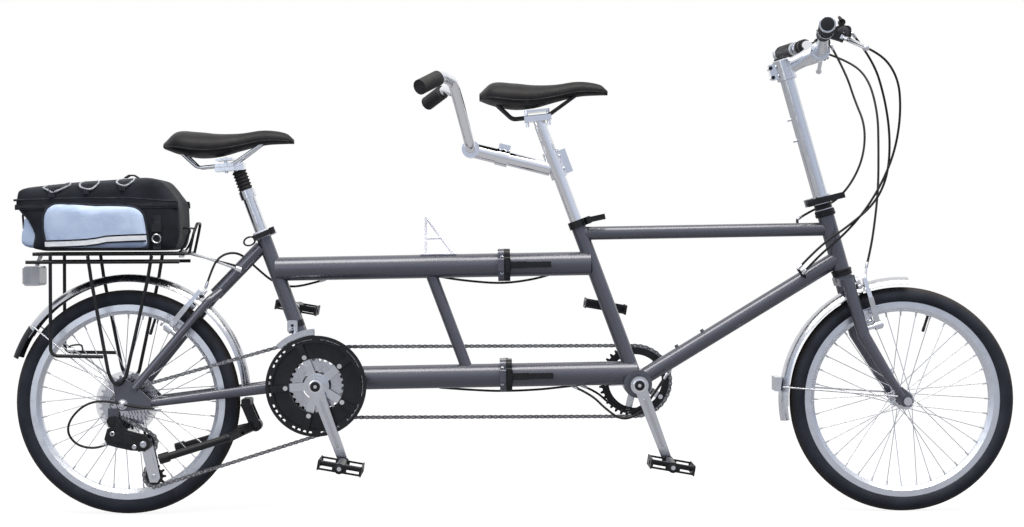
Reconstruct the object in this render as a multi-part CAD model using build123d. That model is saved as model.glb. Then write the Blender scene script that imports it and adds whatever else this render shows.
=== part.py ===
from build123d import *
import math
import os

os.makedirs("parts", exist_ok=True)

# Tandem bicycle with 20 inch wheels and a frame that folds at two in-line hinges.
# Every length is in millimetres. While modelling, X is measured forward of the rear axle,
# Y to the rider's left and Z up from the ground. Saving moves the model back by
# ORIGIN_AHEAD, so the origin is on the ground midway between its two ends.

# ---- driving dimensions ----
ORIGIN_AHEAD = 827.0
WHEELBASE = 1660.0
TYRE_RADIUS = 240.0
TYRE_WIDTH = 37.0
RIM_OUTER = 209.0
RIM_INNER = 188.0
RIM_HALF_WIDTH = 12.0
SPOKE_COUNT = 36
SPOKE_RADIUS = 0.9
REAR_DROPOUT_HALF = 62.0
FRONT_DROPOUT_HALF = 50.0
AXLE_RADIUS = 5.0
RUNNING_GAP = 0.06

SEAT_LEAN = 20.3
STOKER_CRANK_X = 408.0
CAPTAIN_CRANK_X = 1092.0
CRANK_Z = 276.5
SHELL_HALF_WIDTH = 34.0
STOKER_SHELL_RADIUS = 21.0
CAPTAIN_SHELL_RADIUS = 30.0
SPINDLE_RADIUS = 8.5
STOKER_TUBE_LENGTH = 350.0
CAPTAIN_TUBE_LENGTH = 371.0
SEAT_TUBE_RADIUS = 15.9
POST_RADIUS = 13.6
BEAM_RADIUS = 25.4
BRACE_RADIUS = 12.7
TOP_TUBE_RADIUS = 14.3
DOWN_TUBE_RADIUS = 17.45
TUBE_WALL = 1.6
BEAM_RISE = 0.85
LOWER_BEAM_Z = 293.9
UPPER_BEAM_Z = 530.7
FOLD_X = 811.0
FOLD_Y = 38.0

HEAD_LEAN = 15.6
HEAD_X = 1506.9
HEAD_Z = 607.0
HEAD_TUBE_RADIUS = 18.0
STEERER_RADIUS = 14.3
RISER_RADIUS = 15.9
STEM_TOP_Z = 968.0
BAR_CENTRE = (1485.0, 0.0, 986.0)
BAR_END = (1449.0, 300.0, 1011.0)
BAR_RADIUS = 11.1
BAR_SLEEVE_RADIUS = 12.65
GRIP_RADIUS = 16.0
BRAKE_LEVER_Y = 142.0
SHIFTER_Y = 119.0
LEVER_PIN_RADIUS = 2.5
FRONT_LEVER_Y = 75.0

# Each saddle is a loft: distance from its tail, top, bottom and width of each section.
SADDLE_SECTIONS = (
    (3, -27, -42, 66), (30, -4, -52, 126), (75, -4, -61, 148), (120, -8, -58, 118),
    (165, -7, -46, 70), (215, -1, -34, 48), (262, -8, -31, 40), (278, -21, -31, 24),
)
CAPTAIN_SADDLE_X, CAPTAIN_SADDLE_Z = 753.0, 925.0
STOKER_SADDLE_X, STOKER_SADDLE_Z = 79.0, 823.0
STANCHION_RADIUS = 11.0
BELLOWS_COUNT = 6
BELLOWS_PITCH = 7.2
BOOM_FRONT = (908.0, 0.0, 736.0)
STOKER_BAR = (737.0, 0.0, 779.0)
STOKER_SLEEVE_RADIUS = 12.7
TONGUE_RADIUS = 12.0

CRANK_LENGTH = 170.0
SPIDER_START = 40.0
GUARD_INNER = 92.0
GUARD_SLOTS = 10
CHAIN_PITCH = 12.7
CHAIN_Y = -52.0
TIMING_Y = 47.0
RING_TEETH = (50, 38, 28)
RING_Y = (-52.0, -45.5, -39.5)
TIMING_TEETH = 38
COG_TEETH = (11, 13, 15, 17, 20, 23, 26, 28)
COG_SPACING = 4.8
PULLEY_TEETH = 11
PLATE_GAP = 1.3
PLATE_THICK = 1.7
PLATE_HALF_HEIGHT = 4.2
PEDAL_Y = 140.0
PEDAL_HALF_HEIGHT = 9.0

REAR_AXLE = (0.0, 0.0, TYRE_RADIUS)
FRONT_AXLE = (WHEELBASE, 0.0, TYRE_RADIUS)
STOKER_CRANK = (STOKER_CRANK_X, 0.0, CRANK_Z)
CAPTAIN_CRANK = (CAPTAIN_CRANK_X, 0.0, CRANK_Z)
GUIDE_PULLEY = (47.0, CHAIN_Y, 157.5)
TENSION_PULLEY = (64.3, CHAIN_Y, 86.6)
STAND_PIVOT = (274.0, 0.0, 189.0)
CHANGER_PIN = (356.0, -22.0, 404.0)
SIDES = (-1, 1)


# ---- geometry helpers ----
def unit(degrees):
    """The direction in the bicycle's side plane at an angle above straight ahead."""
    return Vector(math.cos(math.radians(degrees)), 0, math.sin(math.radians(degrees)))


SEAT_UP = unit(90 + SEAT_LEAN)
SEAT_AHEAD = unit(SEAT_LEAN)
HEAD_UP = unit(90 + HEAD_LEAN)
HEAD_AHEAD = unit(HEAD_LEAN)
LEVER_UP = unit(61.35)
BEAM_AHEAD = unit(BEAM_RISE)
BEAM_UP = unit(90 + BEAM_RISE)
LEFT = Vector(0, 1, 0)
BOOM_BACK = (Vector(*STOKER_BAR) - Vector(*BOOM_FRONT)).normalized()
BOOM_DOWN = LEFT.cross(BOOM_BACK)


def at(origin, *steps):
    """A point reached from an origin by steps, each a direction and a distance."""
    point = Vector(*origin)
    for direction, distance in steps:
        point = point + direction * distance
    return point


def rod(start, end, radius):
    start, end = Vector(*start), Vector(*end)
    return Solid.make_cylinder(radius, (end - start).length, Plane(start, z_dir=end - start))


def cone(start, end, start_radius, end_radius):
    start, end = Vector(*start), Vector(*end)
    plane = Plane(start, z_dir=end - start)
    return Solid.make_cone(start_radius, end_radius, (end - start).length, plane)


def cut(shape, *cutters):
    for cutter in cutters:
        shape = shape - cutter
    return shape


def fuse(*shapes):
    result = shapes[0]
    for shape in shapes[1:]:
        result = result + shape
    return result


def pipe(start, end, radius, bore, *cutters):
    """A tube whose bore runs right through, cut back from its neighbours."""
    start, end = Vector(*start), Vector(*end)
    along = (end - start).normalized()
    return cut(rod(start, end, radius), rod(start - along * 5, end + along * 5, bore), *cutters)


def bar(start, end, width, depth, side=LEFT):
    """A rectangular bar; width is measured along side."""
    start, end = Vector(*start), Vector(*end)
    plane = Plane(start, x_dir=side, z_dir=end - start)
    return extrude(plane * Rectangle(width, depth), amount=(end - start).length)


def slab(sketch, low_y, high_y):
    """A flat sketch in X and Z made thick along Y."""
    plane = Plane((0, high_y, 0), x_dir=(1, 0, 0), z_dir=(0, -1, 0))
    return extrude(plane * sketch, amount=high_y - low_y)


def span(side, near, far):
    """The lower and higher Y of a piece that lies between two distances on one side."""
    return sorted((side * near, side * far))


def spot(centre, shape):
    """A sketch shape placed at a centre in the side plane."""
    return Pos(centre[0], centre[2]) * shape


def washer(centre, low_y, high_y, radius, bore):
    return slab(spot(centre, Circle(radius)) - spot(centre, Circle(bore)), low_y, high_y)


def barrel(centre, low_y, high_y, radius):
    return slab(spot(centre, Circle(radius)), low_y, high_y)


def bent_rod(points, radius, bend):
    """A rod swept along straight runs joined by arcs of one or several radii."""
    points = [Vector(*point) for point in points]
    path = FilletPolyline(*points, radius=bend)
    section = Plane(points[0], z_dir=points[1] - points[0]) * Circle(radius)
    return sweep(section, path=path)


def cord(points, radius):
    """A cable whose bends are as large as its runs allow."""
    points = [Vector(*point) for point in points]
    radii = []
    for before, corner, after in zip(points, points[1:], points[2:]):
        first, second = corner - before, after - corner
        half_turn = math.radians(first.get_angle(second) / 2)
        radii.append(0.45 * min(first.length, second.length) / math.tan(half_turn))
    print("cable radii", [round(value) for value in radii])
    return bent_rod(points, radius, radii)


def around(centre, sketch, from_degrees, sweep_degrees):
    """Turns a section, drawn as (Y, radius), about a wheel's axle."""
    start = unit(from_degrees)
    plane = Plane(Vector(*centre), x_dir=(0, 1, 0), z_dir=(start.Z, 0, -start.X))
    axis = Axis(Vector(*centre), (0, -1, 0))
    return revolve(plane * sketch, axis=axis, revolution_arc=sweep_degrees)


def save(name, *pieces):
    solids = [solid for piece in pieces for solid in piece.solids()]
    shape = solids[0] if len(solids) == 1 else Compound(children=solids)
    export_step(shape.moved(Location((-ORIGIN_AHEAD, 0, 0))), f"parts/{name}.step")


# ---- wheels ----
def tyre(centre):
    """An open casing whose two beads sit between the rim's walls."""
    half = TYRE_WIDTH / 2
    middle = Pos(0, TYRE_RADIUS - half)
    casing = middle * Circle(half) - middle * Circle(half - 3.2)
    above_rim = Pos(0, RIM_OUTER + 0.3 + 50) * Rectangle(100, 100)
    beads = [Pos(side * 8.2, RIM_OUTER - 2) * Rectangle(3.2, 9) for side in SIDES]
    return around(centre, casing & above_rim, 0, 360) + fuse(
        *[around(centre, bead, 0, 360) for bead in beads]
    )


def rim(centre):
    half = RIM_HALF_WIDTH
    well = RIM_INNER + 12
    section = make_face(
        Polyline(
            (-half, RIM_OUTER), (-half, RIM_INNER + 8), (-half / 2, RIM_INNER),
            (half / 2, RIM_INNER), (half, RIM_INNER + 8), (half, RIM_OUTER),
            (half - 1.9, RIM_OUTER), (half - 1.9, well), (1.9 - half, well),
            (1.9 - half, RIM_OUTER), close=True,
        )
    )
    return around(centre, section, 0, 360)


def hub(centre, right_y, left_y, end_right, end_left, flange_radius):
    """A shell with two flanges that turns on a fixed axle."""
    bore = AXLE_RADIUS + RUNNING_GAP
    shell = barrel(centre, end_right, end_left, 12)
    for flange_y in (right_y, left_y):
        shell = shell + barrel(centre, flange_y - 1.5, flange_y + 1.5, flange_radius)
    return cut(shell, barrel(centre, end_right - 5, end_left + 5, bore))


def spokes(centre, right_y, left_y, flange_radius):
    """Three-cross lacing: half the spokes leave outside each flange and half inside."""
    result = []
    per_side = SPOKE_COUNT // 2
    step = 360 / SPOKE_COUNT
    flange_side = 1.5 + SPOKE_RADIUS + 0.1
    for side, flange_y in ((-1, right_y), (1, left_y)):
        for index in range(per_side):
            trailing = index % 2 == 0
            rim_angle = (2 * index + (side + 1) / 2) * step
            hub_angle = rim_angle + (62 if trailing else -62)
            hub_y = flange_y + (flange_side if trailing else -flange_side)
            start = at(centre, (unit(hub_angle), flange_radius - 4), (LEFT, hub_y))
            end = at(centre, (unit(rim_angle), RIM_INNER - 0.6), (LEFT, side * 2.0))
            result.append(rod(start, end, SPOKE_RADIUS))
    return result


def make_wheels():
    for name, centre in (("rear", REAR_AXLE), ("front", FRONT_AXLE)):
        save(name + "_tyre", tyre(centre))
        save(name + "_rim", rim(centre))
    rear_hub = hub(REAR_AXLE, -14, 34, -18.8, 58, 24)
    protector = washer(REAR_AXLE, -18.6, -17.4, 67, 12.1)
    save("rear_hub_and_spokes", rear_hub, protector, *spokes(REAR_AXLE, -14, 34, 24))
    front_hub = hub(FRONT_AXLE, -34, 34, -46, 46, 20)
    save("front_hub_and_spokes", front_hub, *spokes(FRONT_AXLE, -34, 34, 20))


# ---- chains and sprockets ----
def pitch_radius(teeth):
    return CHAIN_PITCH / (2 * math.sin(math.pi / teeth))


def toothed(centre, teeth):
    """The outline of a sprocket with blunt teeth."""
    radius = pitch_radius(teeth)
    step = 360 / teeth
    outline = []
    for index in range(teeth):
        for share, reach in ((-0.3, -3.9), (-0.13, 2.6), (0.13, 2.6), (0.3, -3.9)):
            point = unit((index + share) * step) * (radius + reach)
            outline.append((centre[0] + point.X, centre[2] + point.Z))
    return make_face(Polyline(*outline, close=True))


def sprocket(centre, teeth, y, thickness, bore):
    sketch = toothed(centre, teeth) - spot(centre, Circle(bore))
    return slab(sketch, y - thickness / 2, y + thickness / 2)


def belt(wheels, offset):
    """The loop round directed circles, each (x, z, signed radius), moved out by offset."""
    circles = [(x, z, radius + offset) for x, z, radius in wheels]
    count = len(circles)
    contacts = []
    for index in range(count):
        ax, az, ar = circles[index]
        bx, bz, br = circles[(index + 1) % count]
        distance = math.hypot(bx - ax, bz - az)
        normal = math.atan2(bz - az, bx - ax) - math.acos((ar - br) / distance)
        nx, nz = math.cos(normal), math.sin(normal)
        contacts.append(((ax + ar * nx, az + ar * nz), (bx + br * nx, bz + br * nz)))
    edges = []
    for index in range(count):
        edges.append(Line(*contacts[index]))
        cx, cz, radius = circles[(index + 1) % count]
        arrive, leave = contacts[index][1], contacts[(index + 1) % count][0]
        start = math.atan2(arrive[1] - cz, arrive[0] - cx)
        finish = math.atan2(leave[1] - cz, leave[0] - cx)
        turn = (finish - start) % (2 * math.pi)
        if radius < 0:
            turn -= 2 * math.pi
        middle = start + turn / 2
        size = abs(radius)
        point = (cx + size * math.cos(middle), cz + size * math.sin(middle))
        edges.append(ThreePointArc(arrive, point, leave))
    return make_face(Wire(edges=[edge.edge() for edge in edges]))


def chain(wheels, y):
    """Two side plates that run round the sprockets, one each side of the teeth."""
    loop = belt(wheels, PLATE_HALF_HEIGHT) - belt(wheels, -PLATE_HALF_HEIGHT)
    inner, outer = PLATE_GAP, PLATE_GAP + PLATE_THICK
    return slab(loop, y - outer, y - inner), slab(loop, y + inner, y + outer)


def make_chains():
    pulley = pitch_radius(PULLEY_TEETH)
    drive = [
        (STOKER_CRANK_X, CRANK_Z, pitch_radius(RING_TEETH[0])),
        (0.0, TYRE_RADIUS, pitch_radius(COG_TEETH[1])),
        (GUIDE_PULLEY[0], GUIDE_PULLEY[2], -pulley),
        (TENSION_PULLEY[0], TENSION_PULLEY[2], pulley),
    ]
    timing = [
        (CAPTAIN_CRANK_X, CRANK_Z, pitch_radius(TIMING_TEETH)),
        (STOKER_CRANK_X, CRANK_Z, pitch_radius(TIMING_TEETH)),
    ]
    save("drive_chain", *chain(drive, CHAIN_Y))
    save("timing_chain", *chain(timing, TIMING_Y))


def make_cassette():
    first_y = CHAIN_Y - COG_SPACING
    bore = AXLE_RADIUS + RUNNING_GAP
    body = cut(barrel(REAR_AXLE, -58.5, -20.4, 15), barrel(REAR_AXLE, -70, -10, bore))
    for index, teeth in enumerate(COG_TEETH):
        inner = 14 if teeth < 20 else 14.5
        body = body + sprocket(REAR_AXLE, teeth, first_y + index * COG_SPACING, 1.8, inner)
    save("cassette", body)


# ---- cranks and pedals ----
def crank_arm(centre, direction, inner_y, outer_y):
    """A tapering arm with a boss at each end; its axle hole takes the pedal."""
    low, high = min(inner_y, outer_y), max(inner_y, outer_y)
    end = at(centre, (direction, CRANK_LENGTH))
    side = Vector(-direction.Z, 0, direction.X)
    corners = [
        at(centre, (side, 13)), at(centre, (side, -13)), at(end, (side, -9.5)), at(end, (side, 9.5)),
    ]
    blade = make_face(Polyline(*[(point.X, point.Z) for point in corners], close=True))
    outline = blade + spot(centre, Circle(19)) + Pos(end.X, end.Z) * Circle(12)
    return slab(outline, low, high)


def pedal_axle(centre, direction, side):
    end = at(centre, (direction, CRANK_LENGTH))
    start = Vector(end.X, side * 76, end.Z)
    return rod(start, start + LEFT * side * 112, 4.5)


def star(centre, arm_from, arm_to, width, first_degrees):
    """Five arms, such as those that hold a chainring."""
    arms = []
    for index in range(5):
        direction = unit(first_degrees + 72 * index)
        middle = at(centre, (direction, (arm_from + arm_to) / 2))
        shape = Rot(0, 0, first_degrees + 72 * index) * Rectangle(arm_to - arm_from, width)
        arms.append(Pos(middle.X, middle.Z) * shape)
    return fuse(*arms)


def bolt_spots(centre, circle_radius, radius, first_degrees):
    places = []
    for index in range(5):
        point = at(centre, (unit(first_degrees + 72 * index), circle_radius))
        places.append(Pos(point.X, point.Z) * Circle(radius))
    return fuse(*places)


def make_chainset():
    first = SPIDER_START
    down, up = SEAT_UP * -1, SEAT_UP
    bolts = bolt_spots(STOKER_CRANK, 65, 5, first)
    small_bolts = bolt_spots(STOKER_CRANK, 37, 4, first)
    spider = star(STOKER_CRANK, 15, 72, 17, first) + spot(STOKER_CRANK, Circle(27)) - bolts
    right = crank_arm(STOKER_CRANK, down, -76, -61) + slab(spider, -50.7, -46.8)
    right = right + barrel(STOKER_CRANK, -63, -47.4, 24)
    left_star = star(STOKER_CRANK, 15, 71.4, 15, first) + spot(STOKER_CRANK, Circle(24)) - bolts
    left = crank_arm(STOKER_CRANK, up, 61, 76) + slab(left_star, 48.4, 52)
    left = left + barrel(STOKER_CRANK, 49, 63, 20)
    spindle = barrel(STOKER_CRANK, -46.78, 48.38, SPINDLE_RADIUS)
    save("stoker_cranks", right, spindle, left,
         pedal_axle(STOKER_CRANK, down, -1), pedal_axle(STOKER_CRANK, up, 1))

    rings = []
    for teeth, y in zip(RING_TEETH[:2], RING_Y[:2]):
        sketch = toothed(STOKER_CRANK, teeth) - spot(STOKER_CRANK, Circle(58)) - bolts
        rings.append(slab(sketch, y - 1.1, y + 1.1))
    inner = toothed(STOKER_CRANK, RING_TEETH[2]) - spot(STOKER_CRANK, Circle(31)) - small_bolts
    rings.append(slab(inner, RING_Y[2] - 1.1, RING_Y[2] + 1.1))
    guard = spot(STOKER_CRANK, Circle(107)) - spot(STOKER_CRANK, Circle(GUARD_INNER))
    for index in range(GUARD_SLOTS):
        slot = SlotArc(CenterArc((0, 0), 98, 360 / GUARD_SLOTS * index - 12, 24), 4.4)
        guard = guard - spot(STOKER_CRANK, slot)
    guard = guard + star(STOKER_CRANK, 58, GUARD_INNER + 1.5, 14, first) - bolts
    rings.append(slab(guard, -60, -57.6))
    held = bolt_spots(STOKER_CRANK, 65, 4.95, first)
    rings.append(slab(held, -60.6, -44))
    rings.append(slab(bolt_spots(STOKER_CRANK, 37, 3.95, first), -46.7, -38.2))
    timing = toothed(STOKER_CRANK, TIMING_TEETH) - spot(STOKER_CRANK, Circle(58)) - bolts
    rings.append(slab(timing, TIMING_Y - 1, TIMING_Y + 1))
    rings.append(slab(held, 45.4, 53))
    save("chainrings", *rings)


def make_captain_cranks():
    first = SPIDER_START
    down, up = SEAT_UP * -1, SEAT_UP
    bolts = bolt_spots(CAPTAIN_CRANK, 65, 5, first)
    right = crank_arm(CAPTAIN_CRANK, down, -76, -61) + barrel(CAPTAIN_CRANK, -63, -40, 14)
    left_star = star(CAPTAIN_CRANK, 15, 71.4, 15, first) + spot(CAPTAIN_CRANK, Circle(24)) - bolts
    left = crank_arm(CAPTAIN_CRANK, up, 61, 76) + slab(left_star, 48.4, 52)
    left = left + barrel(CAPTAIN_CRANK, 49, 63, 20)
    spindle = barrel(CAPTAIN_CRANK, -39.98, 48.38, SPINDLE_RADIUS)
    ring = toothed(CAPTAIN_CRANK, TIMING_TEETH) - spot(CAPTAIN_CRANK, Circle(58)) - bolts
    save("captain_cranks", right, spindle, left,
         slab(ring, TIMING_Y - 1, TIMING_Y + 1),
         slab(bolt_spots(CAPTAIN_CRANK, 65, 4.95, first), 45.4, 53),
         pedal_axle(CAPTAIN_CRANK, down, -1), pedal_axle(CAPTAIN_CRANK, up, 1))


def pedal(centre, direction, side):
    """A body on the axle with a cage of front, back and side plates."""
    end = at(centre, (direction, CRANK_LENGTH))
    spot_at = (end.X, 0, end.Z)
    low, high = span(side, 94, 184)
    body = barrel(spot_at, low, high, 11)
    frame = Plane((end.X, side * (PEDAL_Y - 1), end.Z), x_dir=unit(-10), z_dir=unit(80))
    cage = extrude(frame * (Rectangle(92, 84) - Rectangle(86, 78)), amount=PEDAL_HALF_HEIGHT, both=True)
    web = extrude(frame * Rectangle(90, 9), amount=5, both=True)
    window = extrude(frame * (Pos(-28, 0) * Rectangle(26, 100) + Pos(28, 0) * Rectangle(26, 100)),
                     amount=PEDAL_HALF_HEIGHT - 4, both=True)
    axle_room = barrel(spot_at, low - 5, high + 5, 4.5 + RUNNING_GAP)
    return cut(cut(cage, window) + body + web, axle_room)


def make_pedals():
    down, up = SEAT_UP * -1, SEAT_UP
    for rider, centre in (("stoker", STOKER_CRANK), ("captain", CAPTAIN_CRANK)):
        save(rider + "_pedal_right", pedal(centre, down, -1))
        save(rider + "_pedal_left", pedal(centre, up, 1))


# ---- frame ----
def beam_point(z_at_fold, along, up=0.0):
    """A point on a beam's middle line, measured from the fold plane."""
    shift = (z_at_fold - LOWER_BEAM_Z) * BEAM_UP.X / BEAM_UP.Z
    return at((FOLD_X + shift, 0, z_at_fold), (BEAM_AHEAD, along), (BEAM_UP, up))


def seat_line(crank, distance):
    return at(crank, (SEAT_UP, distance))


def seat_tube_outside(crank, length):
    return rod(seat_line(crank, 0), seat_line(crank, length), SEAT_TUBE_RADIUS + 0.02)


def beam_outside(z_at_fold):
    return rod(beam_point(z_at_fold, -600), beam_point(z_at_fold, 600), BEAM_RADIUS + 0.02)


def seat_tube(crank, length, shell_radius):
    shell = washer(crank, -SHELL_HALF_WIDTH, SHELL_HALF_WIDTH, shell_radius,
                   SPINDLE_RADIUS + RUNNING_GAP)
    tube = pipe(seat_line(crank, 0), seat_line(crank, length), SEAT_TUBE_RADIUS,
                POST_RADIUS + RUNNING_GAP, barrel(crank, -40, 40, shell_radius + 0.02))
    return shell, tube


def seat_collar(crank, length):
    """A split clamp band with two ears in front of the seat tube."""
    low, high = seat_line(crank, length - 15), seat_line(crank, length + 1)
    band = cut(rod(low, high, SEAT_TUBE_RADIUS + 3.5), rod(low, high, SEAT_TUBE_RADIUS + 0.03))
    ears = []
    for side in SIDES:
        start = at(low, (SEAT_AHEAD, 0), (LEFT, side * 5.5))
        end = at(high, (SEAT_AHEAD, 0), (LEFT, side * 5.5))
        ear = bar(start, end, 5, 2 * 29)
        behind = bar(at(start, (SEAT_AHEAD, -20)), at(end, (SEAT_AHEAD, -20)), 20, 78)
        ears.append(cut(ear, behind, rod(low, high, SEAT_TUBE_RADIUS + 1)))
    bolt_at = at(low, (SEAT_UP, 8), (SEAT_AHEAD, 24.5))
    pin = rod(at(bolt_at, (LEFT, 13)), at(bolt_at, (LEFT, -14.4)), 2.5)
    return cut(fuse(band, *ears), rod(at(bolt_at, (LEFT, 20)), at(bolt_at, (LEFT, -30)), 2.52)), pin


def seat_lever_cam(crank, length):
    """The cam on the near end of the collar's pin, and the point that it turns about."""
    pivot = at(seat_line(crank, length - 7), (SEAT_AHEAD, 24.5), (LEFT, -20.6))
    return pivot, rod(at(pivot, (SEAT_UP, -7)), at(pivot, (SEAT_UP, 7)), 6)


def captain_seat_lever():
    """A flat lever that lies forward when it is shut."""
    pivot, cam = seat_lever_cam(CAPTAIN_CRANK, CAPTAIN_TUBE_LENGTH)
    start = at(pivot, (SEAT_AHEAD, 2), (LEFT, -1))
    return cam + bar(start, at(start, (unit(12), 34), (LEFT, -3)), 6, 12)


def stoker_seat_lever():
    """A lever that lies back beside the seat tube and ends in an open loop behind it."""
    pivot, cam = seat_lever_cam(STOKER_CRANK, STOKER_TUBE_LENGTH)
    shank_end = at(pivot, (SEAT_AHEAD, -44), (LEFT, -3), (SEAT_UP, -2))
    shank = bar(at(pivot, (LEFT, -2)), shank_end, 5, 11)
    loop = Plane(at(shank_end, (SEAT_AHEAD, -9), (SEAT_UP, -3)), x_dir=SEAT_AHEAD, z_dir=LEFT)
    ring = extrude(loop * (Ellipse(14, 10.5) - Ellipse(10.5, 7)), amount=2.5, both=True)
    return cam + shank + ring


def ellipse_loft(start, end, start_size, end_size):
    """A member whose section changes from one ellipse to another."""
    start, end = Vector(*start), Vector(*end)
    direction = end - start
    faces = []
    for point, (wide, tall) in ((start, start_size), (end, end_size)):
        faces.append(Plane(point, x_dir=LEFT - direction * (LEFT.dot(direction) / direction.dot(direction)),
                           z_dir=direction) * Ellipse(wide, tall))
    return loft(Sketch() + faces)


def hinge_axis_point(z_at_fold, up):
    return at(beam_point(z_at_fold, 0, up), (LEFT, FOLD_Y))


def hinge_half(z_at_fold, front):
    """One plate of a coupler, with its share of the hinge knuckles and a latch ear."""
    side = 1 if front else -1
    near, far = beam_point(z_at_fold, side * 0.15), beam_point(z_at_fold, side * 13)
    start, end = (near, far) if front else (far, near)
    plane = Plane(start, x_dir=LEFT, z_dir=BEAM_AHEAD)
    thickness = (end - start).length
    face = RectangleRounded(60, 69, 13)
    plate = extrude(plane * face, amount=thickness)
    ear_y, ear_width, ear_height = (-32, 14, 36) if front else (-34, 18, 30)
    latch_ear = Pos(ear_y, 0) * RectangleRounded(ear_width, ear_height, 4)
    plate = plate + extrude(plane * latch_ear, amount=thickness)
    spans = [(-11.7, 11.7)] if front else [(-34.5, -12), (12, 34.5)]
    others = [(-34.6, -11.9), (11.9, 34.6)] if front else [(-12, 12)]
    for low, high in spans:
        lug = extrude(plane * (Pos(31.5, (low + high) / 2) * Rectangle(13, high - low)), amount=thickness)
        knuckle = rod(hinge_axis_point(z_at_fold, low), hinge_axis_point(z_at_fold, high), 6.5)
        plate = plate + lug + knuckle
    for low, high in others:
        plate = plate - rod(hinge_axis_point(z_at_fold, low), hinge_axis_point(z_at_fold, high), 7.2)
    hole = 3.06 if front else 3.02
    return cut(plate, rod(hinge_axis_point(z_at_fold, -50), hinge_axis_point(z_at_fold, 50), hole))


def latch_pivot(z_at_fold, up=0.0):
    return at(beam_point(z_at_fold, 8.0, up), (LEFT, -48))


def latch_lever(z_at_fold):
    """A folding lever that lies along the tube and hooks over the rear plate's ear."""
    low, high = latch_pivot(z_at_fold, -8.5), latch_pivot(z_at_fold, 8.5)
    boss = rod(low, high, 7.5)
    start = latch_pivot(z_at_fold)
    middle = at(start, (BEAM_AHEAD, 40), (LEFT, 6))
    end = at(start, (BEAM_AHEAD, 92), (LEFT, 8))
    handle = bar(start, middle, 8, 15) + bar(middle, end, 8, 13) + rod(
        at(middle, (BEAM_UP, -6)), at(middle, (BEAM_UP, 6)), 4)
    return cut(boss + handle, rod(at(low, (BEAM_UP, -5)), at(high, (BEAM_UP, 5)), 3.06))


def latched_plate(z_at_fold):
    """The front plate with the two ears that carry the latch lever's pin, and the pin."""
    ears = []
    for up in (-14.2, 8.8):
        low, high = latch_pivot(z_at_fold, up), latch_pivot(z_at_fold, up + 5.4)
        ears += [rod(low, high, 6), bar(at(low, (LEFT, 6)), at(high, (LEFT, 6)), 12, 9)]
    hole = rod(latch_pivot(z_at_fold, -17), latch_pivot(z_at_fold, 17), 2.98)
    pin = rod(latch_pivot(z_at_fold, -15), latch_pivot(z_at_fold, 15), 2.96)
    return cut(fuse(hinge_half(z_at_fold, True), *ears), hole), pin


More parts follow.
